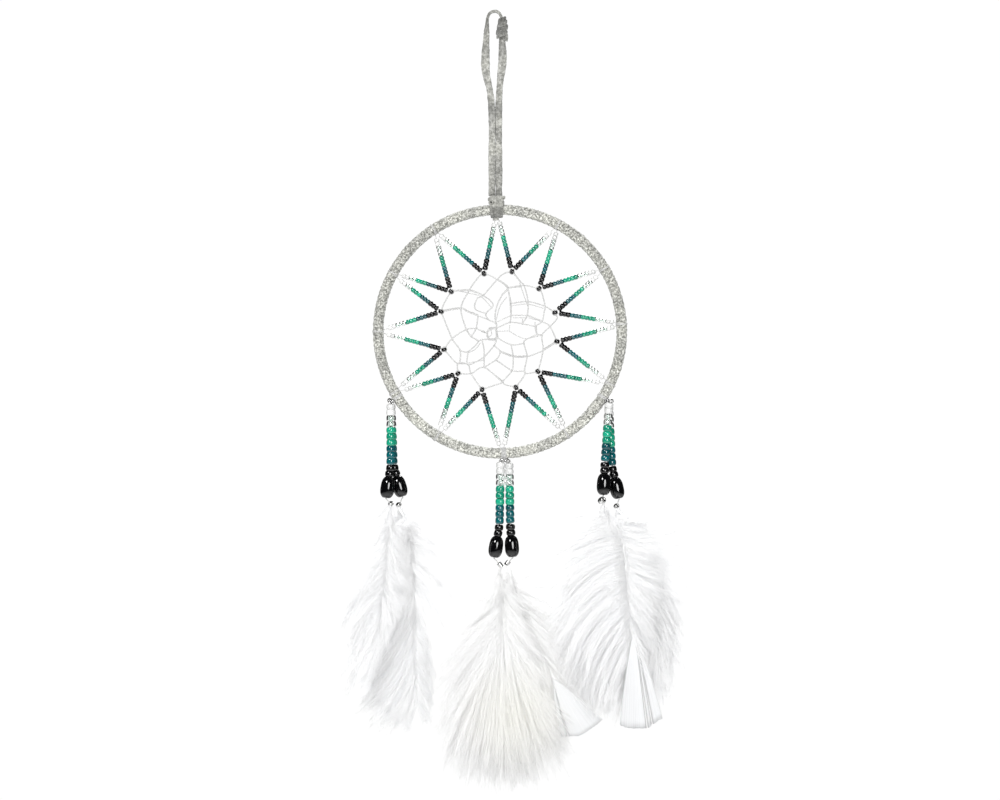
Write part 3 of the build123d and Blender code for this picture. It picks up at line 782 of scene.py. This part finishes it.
# Its threads, each from point to point.
WEB_THREADS = """
    K a1 a2 a3 a4 a6 r0, L c2 b3 b4 b5 a4, A c1 c2 a1 y1, L d1 K, A e1 e2 e3 e4 e5 e6 a6, B f1 e2 b3 bb1 bb2 b5,
    B g1 g2 g3 g5 p1, e3 g2 C, e3 h1 h2 h3 h4, h2 g3 i1 D, h3 g5 j1 j2 E, C i0 i1 k1 j1 o1 o2 m1,
    D l1 j2 m1 m2 F, E m2 n2 n3 t1, r0 h4 p1 o1, o2 p3 p4 n2 p5 F, r1 r2 p4, r2 n3 s1 s2 G, t2 s1 p5 G,
    s2 u2 u3 I, H s2, H u3 v1 v2 I, J v2 w1 x1 K, J x1 y1 aa1 aa2 r4, y1 z2 z3 x2 w1, x2 v1 z7, z4 z5 z7 u2,
    z3 z4 r3, a3 aa1 z2, z7 z8 r1, z8 t1 t2 u2, r0 r1 r3 r4 r5 r0
"""
# Some of them are doubled for part of the way.
WEB_DOUBLED = """
    K a1 a2 a3, L c2 b3, e2 e3 e4, B g1 g2, g5 j1, o1 o2 m1, y1 z2 z3, n2 n3 t1, u2 s2, r4 r5 r0, E m2
"""
# Further runs, across and up from the hoop's middle, in mm: doubled spans, short crossings and
# the tangle in the middle.
WEB_EXTRA = """
    -23.4 20.7 -15.7 19.3 -9.4 17.4 -4.5 12.3, -3.8 11.9 -6.6 9.5 -7.3 7.7, -10.8 7.7 -11.5 1.8 -7.7 -0.3,
    -2.4 4.2 1.1 6.0 5.3 7.9, -2.1 0.0 4.2 0.2 8.4 -2.1 12.6 -3.5 18.9 -2.4, -9.8 -5.6 -12.2 -8.7 -15.7 -10.6,
    -20.6 -16.1 -16.1 -16.2, -15.7 -15.7 -8.0 -14.3, -2.1 -14.3 6.0 -19.9, 0.0 25.2 3.5 21.7 4.9 14.7 5.3 7.7,
    3.5 17.4 0.0 12.6 -2.0 5.6, 4.2 21.7 10.5 22.4, 9.8 24.5 11.9 18.2 14.0 12.6, 6.3 13.0 14.0 13.7 21.7 11.6,
    6.3 6.9 13.3 6.8, 14.4 6.9 21.7 4.8, -9.4 0.0 -6.6 -0.7 -4.9 1.1 -4.2 -1.4 -5.6 -3.1 -3.1 -4.5 -0.7 -2.8,
    4.9 3.2 4.6 0.2, 11.2 6.3 11.3 3.2, 17.5 4.9 17.6 0.7
"""
STAR_POINTS = "ABCDEFGHIJKL"
HOLE = ("r0", "r1", "r3", "r4", "r5")  # round the hole in the middle


def pairs(words):
    """Across and up, again and again, as pairs of numbers."""
    numbers = [float(word) for word in words]
    return list(zip(numbers[::2], numbers[1::2]))


def listed(text):
    """The comma-separated entries of a text, each as its words."""
    return [entry.split() for entry in text.split(",")]


# Radii in mm, wider than the CAD's threads so that they show at the photograph's size.
WEB_MAIN, WEB_SECOND, WEB_SHORT, WEB_SWIRL, WEB_HITCH, WEB_LOOP = 0.37, 0.28, 0.26, 0.22, 0.21, 0.19
SPACING = 0.3 * MM  # between the points along a thread
web = Build()
web_at = {}
for name, x, z in listed(WEB_PLACES):
    web_at[name] = np.array((float(x), rng.normal(0, 0.10), float(z)))


def web_point(name, off=(0.0, 0.0, 0.0)):
    return hoop_middle + MM * (web_at[name] + off)


met = {}
for names in listed(WEB_THREADS):
    for n in names:
        met[n] = met.get(n, 0) + 1
    line = smooth_line(np.array([web_point(n) for n in names]), SPACING)
    drift = np.array([noise.noise(Vector(p) * 160) for p in line])
    line += drift[:, None] * MM * np.array((0.0, 0.12, 0.15))
    web.tube(line, WEB_MAIN * MM, 8, 2, 0.5, 0.08)
for names in listed(WEB_DOUBLED):
    line = smooth_line(np.array([web_point(n, (rng.normal(0, 0.25), 0.25, 0.45)) for n in names]), SPACING)
    web.tube(line, WEB_SECOND * MM, 7, 2, 0.5, 0.08)
for words in listed(WEB_EXTRA):
    run = [hoop_middle + MM * np.array((x, rng.normal(0, 0.2), z)) for x, z in pairs(words)]
    web.tube(smooth_line(np.array(run), SPACING), WEB_SHORT * MM, 7, 2, 0.5, 0.08)
# Where threads cross, one loops round the other.
for n, times in met.items():
    if times < 2 or n in STAR_POINTS:
        continue
    centre = web_point(n)
    direction = rng.normal(0, 1, 3) * (1, 0.3, 1)
    web.tube(helix(centre, direction, 0.30 * MM, 0.34 * MM, 1.5, rng.uniform(0, 6), 14), WEB_LOOP * MM, 6)
# The loose swirl round the hole in the middle.
hole = np.array([web_point(n) for n in HOLE])
swirl_centre = np.mean(hole, axis=0)
for scale, lift in ((0.82, -0.2), (1.08, 0.25)):
    loop = swirl_centre + (hole - swirl_centre) * scale + (0, lift * MM, 0.2 * MM * lift)
    web.tube(smooth_line(np.vstack([loop, loop[:2]]), 0.28 * MM), WEB_SWIRL * MM, 6, 2, 0.5, 0.09)
# At each inner point the web's thread takes a turn behind the black bead.
for n in STAR_POINTS:
    centre = web_point(n)
    inward = unit(hoop_middle - centre)
    side = np.cross(inward, (0, 1, 0))
    ring = [
        centre + MM * (side * sin(a) * 1.35 + inward * (0.25 + cos(a) * 1.2) + np.array((0, 0.9 * sin(a / 2), 0)))
        for a in np.linspace(-2.2, 2.2, 12)
    ]
    web.tube(smooth_line(np.array(ring), 0.28 * MM), WEB_HITCH * MM, 6, 2, 0.6, 0.16)
web.piece("web_thread_net", web_look, "hoop", ["web_thread"])

# ---------------------------------------------------------------- pendants

# Two small silver beads on each tie, one over each strand: across from its middle, front to back, up.
TIE_BEADS = {
    "left": ((-0.55, -1.9, 0.35), (0.75, -2.3, -0.25)),
    "middle": ((-1.35, -0.5, 0.1), (1.25, -0.55, -0.05)),
    "right": ((-0.95, -2.0, 0.0), (1.05, -2.0, 0.15)),
}
joint_at = {j["name"]: np.array(j["pos_m"], float) for j in frame["joints"]}
for side, spots in TIE_BEADS.items():
    low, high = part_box(f"{side}_tie_knot")
    pivot = np.array((low + high) / 2)
    lengthwise = np.array((1.0, 0, 0)) if side == "middle" else np.array((0, 1.0, 0))
    half = max(high.x - low.x, high.y - low.y) / 2
    bar = Build()
    pitch = 0.32 * MM
    bar.tube(helix(pivot, lengthwise, 0.42 * MM, pitch, half * 1.9 / pitch, 0, 16), 0.18 * MM, 6)
    bar.piece(f"{side}_tie_winding", star_thread_look, f"{side}_knot")
    tops = Build()
    for dx, y, dz in spots:
        spot = np.array((pivot[0] + dx * MM, y * MM, pivot[2] + dz * MM))
        axis = (rng.normal(0, 0.4), -1.0, rng.normal(0, 0.4))
        turned(tops, spot, axis, 2.4 * MM, 1.8 * MM, 0.8 * MM, 0.9, 0.5, 24, 14)
    tops.piece(f"{side}_tie_beads", silver, f"{side}_knot", [f"{side}_tie_knot"])

# The strands' round beads, from the top: colour, group in the CAD, roundness, tones, growth.
STRAND_ROWS = (
    ("white", "pale", 0.8, (0.1, 0.9), 1.06),
    ("clear", "pale", 0.85, (0.1, 0.9), 1.06),
    ("green", "green", 0.85, (0.25, 0.95), 1.07),
    ("teal", "teal", 0.85, (0.1, 0.8), 1.07),
    ("black", "black", 0.85, (0.1, 0.9), 1.07),
)


def oval_bead(strand, middle, axis, points):
    """The black oval, fullest a little above its middle; axis points down."""
    build = Build()
    along = (points - middle) @ axis
    z = np.linspace(along.min(), along.max(), 25)
    _, reach = across_axis(middle, axis, points)
    u = np.linspace(-1, 1, 25)
    swell = (1 - np.abs(u * 0.91) ** 2.9) ** 0.5 * reach.max() * (1.02 + 0.03 * u)
    outline_r = np.concatenate([swell, np.full(3, reach.min())])
    outline_z = np.concatenate([z, [z[-1] - 0.1 * MM, 0, z[0] + 0.1 * MM]])
    spoke1 = unit(np.cross(axis, (0.1, 0.97, 0.2)))
    a = circle(36)
    spoke = spoke1 * np.cos(a)[:, None] + np.cross(axis, spoke1) * np.sin(a)[:, None]
    build.grid(middle + spoke[:, None] * outline_r[None, :, None] + axis * outline_z[None, :, None], True, 0.4)
    build.piece(f"{strand}_oval", black_glass, strand)
    return middle + axis * along.max()


for side in TIE_BEADS:
    for number in (1, 2):
        strand = f"{side}_strand_{number}"
        from_top = {
            group: sorted(islands(f"{strand}_{group}_beads"), key=lambda i: -i[0][2])
            for group in ("pale", "green", "teal", "black")
        }
        rows = {**from_top, "white": from_top["pale"][:2], "clear": from_top["pale"][2:]}
        rows["black"], oval = from_top["black"][:2], from_top["black"][2]
        for colour, group, roundness, tones, grow in STRAND_ROWS:
            glass, cad_node = STAR_GLASS[colour], f"{strand}_{group}_beads"
            bead_row(f"{strand}_{colour}", glass, strand, rows[colour], [cad_node], roundness, tones, 30, grow)
            if colour == "clear":
                lined(f"{strand}_lining", strand, rows["clear"])
        middle, axis, points = oval
        axis = -axis if axis[2] > 0 else axis
        oval_bottom = oval_bead(strand, middle, axis, points)
        # The thread, from the tie through every bead to the silver end bead.
        top = joint_at[f"{strand}_swing"] + (0, 0, -0.55 * MM)
        end_low, end_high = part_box(f"{strand}_end_bead")
        end = np.array((end_low + end_high) / 2)
        beads_down = [place[0] for colour, *_ in STRAND_ROWS for place in rows[colour]]
        line = np.array([top, *beads_down, middle, oval_bottom, oval_bottom + axis * 0.5 * MM, end])
        thread = Build()
        thread.tube(smooth_line(line, 0.4 * MM), 0.34 * MM, 9, 3, 0.35, 0.14)
        thread.piece(f"{strand}_cordlet", star_thread_look, strand, [f"{strand}_thread"])
        # The end bead over the quill: a ball, or a small crimp tube on the middle pendant.
        size = end_high.x - end_low.x
        closing = Build()
        if side == "middle":
            leave = unit(oval_bottom - end)
            turned(closing, end, leave, size * 0.98, size * 1.1, size * 0.45, 0.35, 0.5, 26, 16)
        else:
            turned(closing, end, (0.5, -0.75, 0.4), size * 1.06, size * 1.0, size * 0.28, 0.95, 0.5, 28, 18)
        closing.piece(f"{strand}_end", silver, strand, [f"{strand}_end_bead"])

# ---------------------------------------------------------------- feathers

# Each feather: its depth, shaft and fields of barbs, in mm.  A field is its kind, how many tufts it
# has, how far they bow, the curve on the shaft where they start and the curve of their tips.  Curves
# are across and up, again and again.
FEATHERS = {
    "left_feather_1": {
        "depth": -4.6, "shaft_radius": 0.45,
        "shaft": "-51.95 -246.0 -51.75 -257.75 -53.5 -272.75 -56.0 -292.75 -59.5 -316.75 -64.0 -339.75",
        "fields": (
            # left down
            ("down", 60, 2.5, "-51.75 -252.75 -53.5 -270.75 -55.5 -290.75",
             "-61.5 -256.75 -66.5 -272.75 -70.5 -295.75 -73.0 -312.75"),
            # left long
            ("soft", 70, 3.5, "-53.0 -267.75 -55.5 -290.75 -59.0 -312.75",
             "-71.5 -295.75 -74.5 -317.75 -76.5 -337.75 -75.0 -344.75"),
            # right side
            ("down", 60, -2.0, "-51.75 -251.75 -53.5 -270.75 -55.5 -290.75",
             "-48.0 -262.75 -45.0 -282.75 -46.0 -298.75 -49.5 -305.75"),
            # lower
            ("soft", 70, -1.5, "-54.5 -280.25 -58.5 -312.75 -62.5 -335.25",
             "-49.5 -303.75 -57.5 -318.75 -64.5 -332.75 -73.0 -345.75"),
        ),
    },
    "left_feather_2": {
        "depth": 4.6, "shaft_radius": 0.5,
        "shaft": "-48.25 -246.75 -44.5 -254.75 -41.5 -272.75 -40.5 -305.25 -39.75 -332.75 -39.3 -351.75",
        "fields": (
            # right down
            ("down", 80, 3.0, "-46.5 -250.25 -42.5 -265.25 -41.0 -287.75",
             "-30.5 -258.75 -24.5 -272.75 -25.0 -285.25 -31.5 -303.75"),
            # left down
            ("down", 70, -2.5, "-46.5 -250.25 -42.5 -265.25 -41.0 -287.75",
             "-54.5 -265.25 -55.5 -282.75 -53.5 -298.75 -50.5 -312.75"),
            # left vane
            ("vane", 110, -3.0, "-41.0 -282.75 -40.25 -312.75 -39.5 -342.75",
             "-61.5 -326.75 -68.5 -345.75 -61.5 -356.75 -42.5 -359.25"),
            # right vane
            ("vane", 60, 1.5, "-40.75 -292.75 -40.0 -322.75 -39.4 -345.25",
             "-32.5 -317.75 -31.0 -337.75 -32.0 -351.75 -36.5 -358.25"),
        ),
    },
    "middle_feather_1": {
        "depth": -1.5, "shaft_radius": 0.45,
        "shaft": "2.6 -277.0 3.25 -287.75 4.0 -298.75 2.0 -320.25 -1.5 -345.25 -4.5 -367.75",
        "fields": (
            # upper left
            ("down", 70, 1.5, "3.0 -282.75 3.75 -292.75 4.0 -305.25",
             "-6.5 -292.75 -16.5 -303.75 -24.5 -320.25 -27.0 -337.75"),
            # left fan
            ("soft", 90, 1.5, "3.75 -292.75 4.0 -301.75 2.5 -317.75",
             "-27.0 -330.75 -29.5 -350.75 -31.0 -368.75 -25.5 -373.75"),
            # bottom fan
            ("fan", 120, 0.5, "4.0 -295.75 3.5 -307.75 1.0 -330.25",
             "-27.5 -373.75 -16.5 -379.75 -4.5 -383.25 12.5 -383.75"),
            # middle of the fan
            ("fan", 90, 0.3, "3.75 -295.75 3.5 -309.75 2.0 -327.75",
             "-10.0 -381.0 2.0 -384.5 13.0 -384.5 23.0 -380.0"),
            # right fan
            ("fan", 110, -1.0, "3.75 -292.75 4.0 -301.75 2.5 -317.75",
             "12.5 -383.0 25.5 -380.0 36.0 -372.0 36.0 -352.0"),
            # upper right
            ("down", 60, -1.5, "3.0 -281.75 3.75 -292.75 4.0 -305.25",
             "11.5 -292.75 19.5 -307.75 26.5 -326.75 30.5 -342.75"),
        ),
    },
    "middle_feather_2": {
        "depth": 1.5, "shaft_radius": 0.45,
        "shaft": "6.2 -276.25 10.5 -288.25 17.0 -305.75 24.0 -320.25 30.5 -333.75 38.5 -350.75",
        "fields": (
            # upper right
            ("down", 80, -2.0, "8.0 -281.75 11.5 -291.75 17.5 -306.75",
             "20.5 -290.75 32.5 -303.75 44.5 -322.75 51.0 -337.75"),
            # right fan
            ("soft", 80, -1.5, "12.5 -294.75 19.5 -310.75 26.5 -324.75",
             "47.5 -328.75 53.5 -342.75 54.5 -351.75 51.5 -354.75"),
            # lower
            ("soft", 90, 1.0, "9.5 -286.75 16.5 -305.75 25.5 -323.75",
             "13.5 -342.75 20.5 -362.75 30.5 -372.75 37.5 -371.25"),
        ),
        "wedge": {
            "apex": (28.5, -330.75), "edge": "33.5 -360.75 36.0 -360.5 42.5 -359.75 48.5 -356.25 53.5 -352.25",
            "slits": (0.13,), "count": 64, "y": -3.2,
        },
    },
    "right_feather_1": {
        "depth": -4.6, "shaft_radius": 0.6,
        "shaft": "53.35 -245.25 58.0 -253.25 63.5 -263.25 65.75 -282.75 67.0 -301.75 68.5 -317.75 69.5 -337.75",
        "fields": (
            # upper left
            ("down", 90, 3.0, "56.0 -250.25 60.5 -257.75 64.5 -270.75",
             "45.0 -248.75 39.0 -261.75 32.5 -275.75 28.0 -290.75"),
            # left long
            ("soft", 100, 5.5, "62.5 -262.75 65.25 -280.25 66.75 -297.75",
             "28.5 -291.75 28.0 -306.75 31.0 -320.25 38.5 -337.75"),
            # left low
            ("strokes", 90, 4.5, "66.0 -287.75 67.25 -303.75 68.5 -320.25",
             "35.5 -334.75 43.5 -342.75 50.5 -348.75 58.5 -351.75"),
            # right down
            ("down", 80, -2.5, "58.5 -253.75 64.0 -265.25 65.75 -285.25",
             "72.5 -252.75 80.0 -265.25 83.5 -285.25 81.5 -302.75"),
            # right low
            ("soft", 50, -1.2, "65.5 -280.25 67.0 -301.75 68.5 -317.75",
             "80.5 -298.75 78.5 -317.75 76.5 -326.75 75.0 -337.75"),
        ),
        "wedge": {
            "apex": (69.0, -305.75), "edge": "62.5 -354.5 66.5 -355.75 75.0 -356.0 78.5 -353.75 83.0 -351.25",
            "slits": (0.62, 0.74), "count": 70, "y": -6.4,
        },
    },
    "right_feather_2": {
        "depth": 4.6, "shaft_radius": 0.45,
        "shaft": "60.8 -247.5 68.5 -255.75 75.0 -272.75 79.0 -297.75 81.0 -320.25 82.5 -337.75",
        "fields": (
            # right down
            ("down", 90, 2.5, "65.5 -251.75 73.0 -265.25 77.5 -287.75",
             "78.5 -249.75 89.5 -264.75 93.5 -287.75 93.5 -306.75"),
            # right long
            ("strokes", 80, 2.5, "75.0 -273.75 79.0 -298.75 81.0 -320.25",
             "93.0 -302.75 92.0 -320.25 89.5 -335.25 86.5 -345.75"),
            # left down
            ("down", 60, -2.0, "65.5 -251.75 73.0 -265.25 77.5 -287.75",
             "69.5 -267.75 71.5 -287.75 72.5 -305.25 74.5 -318.75"),
            # left low
            ("soft", 60, -1.5, "76.5 -280.25 79.5 -302.75 81.0 -322.75",
             "73.0 -312.75 75.5 -332.75 79.5 -344.75 84.5 -349.75"),
            # left back
            ("vane", 90, -3.0, "62.0 -248.75 68.5 -256.75 75.0 -273.75",
             "45.5 -312.75 50.5 -337.75 58.5 -350.75 67.5 -353.75"),
        ),
    },
}


def polyline_at(points, t):
    """Points at the shares t of the way along a smooth curve through these, in the plane y = 0."""
    p = smooth_line(np.array([(x, 0.0, z) for x, z in points]), 0.4)
    along = distances(p)
    along /= along[-1]
    return np.stack([np.interp(t, along, p[:, k]) for k in range(3)], 1)


BARB_STEPS, BARB_DEPTH, BARB_ROLL = 8, 0.07, 0.5
FURTHEST_Y = 12.0  # the barbs end there, front and back, in mm


def strip_barbs(build, line, width, tone):
    """Barbs as thin three-sided blades.  line is (barbs, points, 3) in mm."""
    count, steps = line.shape[:2]
    t = unit(np.gradient(line, axis=1))
    wide = np.cross(t, FRONT)
    turn = rng.normal(0, BARB_ROLL, (count, 1, 1))
    wide = unit(wide * np.cos(turn) + np.cross(t, wide) * np.sin(turn))
    deep = np.cross(t, wide)
    u = np.linspace(0, 1, steps)
    taper = (1 - 0.55 * u**3)[None, :, None]
    w = wide * np.asarray(width).reshape(-1, 1, 1) * taper / 2
    h = deep * BARB_DEPTH * taper
    ring = np.stack([line + w - h * 0.33, line - w - h * 0.33, line + h * 0.67], 2)
    base = (np.arange(count)[:, None, None] * steps + np.arange(steps - 1)[None, :, None]) * 3
    side = np.arange(3)[None, None, :]
    after = (side + 1) % 3
    quads = np.stack([base + side, base + after, base + 3 + after, base + 3 + side], -1).reshape(-1, 4)
    caps = np.arange(count)[:, None] * steps * 3
    tris = np.vstack([caps + (0, 2, 1), caps + (steps - 1) * 3 + (0, 1, 2)])
    tones = np.repeat(np.broadcast_to(tone, (count, steps)).reshape(-1), 3)
    build.add(ring.reshape(-1, 3) * MM, quads, tris, tones)



KINDS = {
    # barbs in a tuft, spread at the root and at the tip (mm), depth at the tip (mm), waviness (mm),
    # barb width (mm), share of the way that the shortest tufts reach, stray of the tips (mm)
    "down": (15, 2.8, 2.6, 3.0, 0.80, 0.12, 0.50, 2.4),
    "soft": (15, 2.8, 2.3, 2.8, 0.55, 0.13, 0.55, 2.0),
    "strokes": (15, 2.6, 1.5, 2.4, 0.38, 0.17, 0.60, 1.5),
    "fan": (14, 2.3, 2.2, 1.5, 0.30, 0.19, 0.80, 1.4),
    "vane": (13, 1.9, 1.5, 0.9, 0.25, 0.20, 0.65, 1.0),
}



def scatter(spread, count):
    """Random offsets, none further out than twice the spread."""
    return np.clip(rng.normal(0, 1, (count, 3)), -2, 2) * spread


def barb_field(build, starts, tips, bulge, tufts, kind, depth):
    """Tufts of barbs from one guide curve to another, hanging and bowing out on the way."""
    per, root_spread, tip_spread, tip_depth, waviness, width, shortest, stray = KINDS[kind]
    t = (np.arange(tufts) + rng.uniform(0.0, 1.0, tufts)) / tufts
    a = polyline_at(starts, np.clip(t + rng.normal(0, 0.05, tufts), 0, 1))
    b = polyline_at(tips, t)
    reach = rng.uniform(shortest, 1.08, tufts) ** 0.42
    b = a + (b - a) * reach[:, None] + scatter((stray, tip_depth, stray), tufts)
    chord = b - a
    outward = unit(np.stack([chord[:, 2], 0 * chord[:, 0], -chord[:, 0]], 1))
    # The bow goes away from the far end of the shaft.
    sideways = np.mean([x for x, z in tips]) - np.mean([x for x, z in starts])
    sign = np.sign(bulge) * np.sign(outward[:, 0] * sideways + 1e-9)
    strength = abs(bulge) * rng.uniform(0.5, 1.4, tufts) * (np.linalg.norm(chord, axis=1) / 25.0)
    control = (a + b) / 2 + outward * (sign * strength)[:, None]
    control[:, 2] += rng.normal(0, 0.8, tufts)
    control[:, 1] += 0.6 * b[:, 1]
    share = np.linspace(0, 1, BARB_STEPS)[None]
    u = share[..., None]
    lines, tones = [], []
    for _ in range(per):
        shift0 = scatter(root_spread / 2, tufts) * (0.35, 0.35, 1.0)
        shift1 = scatter(tip_spread / 2, tufts) * (1.0, 1.0, 0.9)
        end_share = rng.uniform(0.84, 1.04, (tufts, 1))
        p0, p2 = a + shift0, a + (b - a) * end_share + shift1
        p1 = control + (shift0 + shift1) * 0.5
        line = (1 - u) ** 2 * p0[:, None] + 2 * u * (1 - u) * p1[:, None] + u**2 * p2[:, None]
        wave = rng.uniform(0, 2 * pi, (tufts, 1)) + share * rng.uniform(3, 9, (tufts, 1))
        amount = waviness * rng.uniform(0.2, 1.0, (tufts, 1)) * share**1.3
        line = line + outward[:, None] * (np.sin(wave) * amount)[..., None]
        line[..., 1] += np.cos(wave * 1.3) * amount * 0.8
        lines.append(line)
        # Painted shade: barbs lying further back get a lower tone, a darker, cooler grey; a few more are darker at
        # random.
        deep = np.clip(0.62 - 0.05 * line[..., 1], 0.1, 1.0)
        tones.append(deep + rng.normal(0, 0.10, (tufts, 1)) - 0.42 * (rng.random((tufts, 1)) < 0.13))
    line = np.concatenate(lines)
    line[..., 1] = np.clip(line[..., 1] + depth, -FURTHEST_Y, FURTHEST_Y)
    strip_barbs(build, line, rng.uniform(0.7, 1.2, len(line)) * width, np.concatenate(tones))


def wedge_vane(build, data):
    """The flat, zipped vane at the tip: barbs lying edge to edge, cut off square, with slits."""
    count = data["count"]
    t = np.linspace(0, 1, count)
    edge = polyline_at(pairs(data["edge"].split()), t)
    shift = np.zeros(count)
    for at in data["slits"]:
        shift += np.where(t > at, 1.0, -1.0) * np.exp(-np.abs(t - at) / 0.10) * 0.55
    edge[:, 0] += shift
    edge[:, 2] += rng.normal(0, 0.12, count)
    top = np.array((data["apex"][0], 0.0, data["apex"][1]))
    start = top + (edge - top) * (0.02 + 0.10 * np.abs(t - 0.5))[:, None]
    u = np.linspace(0, 1, 14)[None, :, None]
    bow = np.stack([(t - 0.5) * 1.2, 0 * t, 0 * t], 1)
    line = start[:, None] + (edge - start)[:, None] * u + bow[:, None] * np.sin(pi * u)
    line[..., 1] = data["y"] + 0.25 * np.sin(t * 9)[:, None] * u[..., 0]
    spacing = np.linalg.norm(np.diff(edge, axis=0), axis=1).mean()
    deep = unit(np.gradient(line, axis=1))
    wide = unit(np.cross(deep, FRONT))
    w = wide * (0.16 + 0.62 * spacing * u)
    thick = FRONT * np.full_like(line, 0.09)
    ring = np.stack([line + w, line + thick, line - w, line - thick], 2)
    # Painted shade: the flat vane gets a low tone, a light grey, and a lower one beside its slits as painted shadow.
    for k in range(count):
        beside = min(abs(t[k] - at) for at in data["slits"])
        build.grid(ring[k] * MM, False, 0.135 + 0.03 * rng.uniform(-1, 1) - (0.10 if beside < 0.03 else 0.0))


for feather, data in FEATHERS.items():
    depth, points = data["depth"], pairs(data["shaft"].split())
    vane = Build()
    for kind, tufts, bulge, starts, tips in data["fields"]:
        barb_field(vane, pairs(starts.split()), pairs(tips.split()), bulge, tufts, kind, depth)
    # A skirt of down over the quill's end.
    (top_x, top_z), (next_x, next_z) = points[:2]
    quill = ((top_x, top_z), ((top_x + next_x) / 2, (top_z + next_z) / 2), (next_x, next_z))
    skirt = [(next_x + x, top_z - down) for x, down in ((-6.5, 7), (-2.5, 15), (2.5, 15), (6.5, 7))]
    barb_field(vane, quill, skirt, 0.8, 34, "down", depth)
    if "wedge" in data:
        wedge_vane(vane, data["wedge"])
    look = feather_warm if feather.startswith("middle") else feather_cool
    vane.piece(f"{feather}_barbs", look, feather, [feather])
    shaft = Build()
    root = joint_at[f"{feather}_flutter"]
    line = smooth_line(np.array([root] + [MM * np.array((x, depth, z)) for x, z in points[1:]]), 0.6 * MM)
    u = np.linspace(0, 1, len(line))
    shaft.tube(line, MM * data["shaft_radius"] * (1 - 0.75 * u**1.2), 12, squash=0.8, tone=0.9)
    shaft.piece(f"{feather}_shaft", quill_look, feather)

# ---------------------------------------------------------------- floor, lights, world

floor_look, tree, shader = nodes_of("floor_look")
fill(tree, shader, {"Base Color": ramp(tree, speckle(tree, 3.0), (0.3, 0.86), (0.7, 0.90)), "Roughness": 0.9})
FLOOR_Z, FLOOR_RADIUS, FLOOR_SIDES = -1.05, 3.0, 64
rim = [(FLOOR_RADIUS * cos(a), FLOOR_RADIUS * sin(a), FLOOR_Z)
       for a in circle(FLOOR_SIDES)]
floor_mesh = bpy.data.meshes.new("floor")
floor_mesh.from_pydata(
    rim + [(0, 0, FLOOR_Z)], [], [(k, (k + 1) % FLOOR_SIDES, FLOOR_SIDES) for k in range(FLOOR_SIDES)]
)
floor_mesh.materials.append(floor_look)
floor = placed("floor", floor_mesh)


def area_light(name, place, target, size, watts):
    data = bpy.data.lights.new(name, "AREA")
    data.shape = "DISK"
    data.size = size
    data.energy = watts
    light = placed(name, data)
    light.location = place
    light.rotation_euler = (Vector(target) - Vector(place)).to_track_quat("-Z", "Y").to_euler()


AIM = (0.0, 0.0, -0.2)
# Name, place, size across and watts.
for name, place, size, watts in (
    ("key", (-0.75, -1.25, 0.55), 0.45, 21.0),
    ("fill", (0.45, -1.5, -0.05), 0.7, 17.0),
    ("top_back", (0.2, 1.0, 0.9), 0.8, 22.0),
):
    area_light(name, place, AIM, size, watts)

world = bpy.data.worlds.new("studio")
bpy.context.scene.world = world
world.use_nodes = True
tree = world.node_tree
BACKDROP, ROOM_FRONT, ROOM_BACK, MIRROR_SHARE = 1.02, 0.62, 1.0, 0.05
fill(tree, tree.nodes["Background"], {"Color": (1, 1, 1, 1), "Strength": BACKDROP})  # what the camera sees
# The room that lights the object: brighter behind it than in front.
place = node(tree, "ShaderNodeTexCoord").outputs["Generated"]
parts = node(tree, "ShaderNodeSeparateXYZ", {"Vector": place})
room = node(tree, "ShaderNodeMapRange", {
    "Value": parts.outputs["Y"], "From Min": -0.6, "From Max": 0.5, "To Min": ROOM_FRONT, "To Max": ROOM_BACK,
})
# Mirror rays see a far darker room, so that glass keeps its depth of colour.
seen = node(tree, "ShaderNodeLightPath").outputs
rays = {0: seen["Is Glossy Ray"], 1: seen["Is Transmission Ray"]}
mirrored = node(tree, "ShaderNodeMath", rays, operation="SUBTRACT", use_clamp=True)
dim = node(tree, "ShaderNodeMapRange", {"Value": mirrored.outputs["Value"], "To Min": 1.0, "To Max": MIRROR_SHARE})
strength = node(tree, "ShaderNodeMath", {0: dim.outputs["Result"], 1: room.outputs["Result"]}, operation="MULTIPLY")
ambient = node(tree, "ShaderNodeBackground", {"Strength": strength.outputs["Value"]})
choose = node(tree, "ShaderNodeMixShader", {
    "Fac": seen["Is Camera Ray"], 1: ambient.outputs["Background"],
    2: tree.nodes["Background"].outputs["Background"],
})
fill(tree, tree.nodes["World Output"], {"Surface": choose.outputs["Shader"]})
bpy.context.scene.view_settings.view_transform = "Standard"
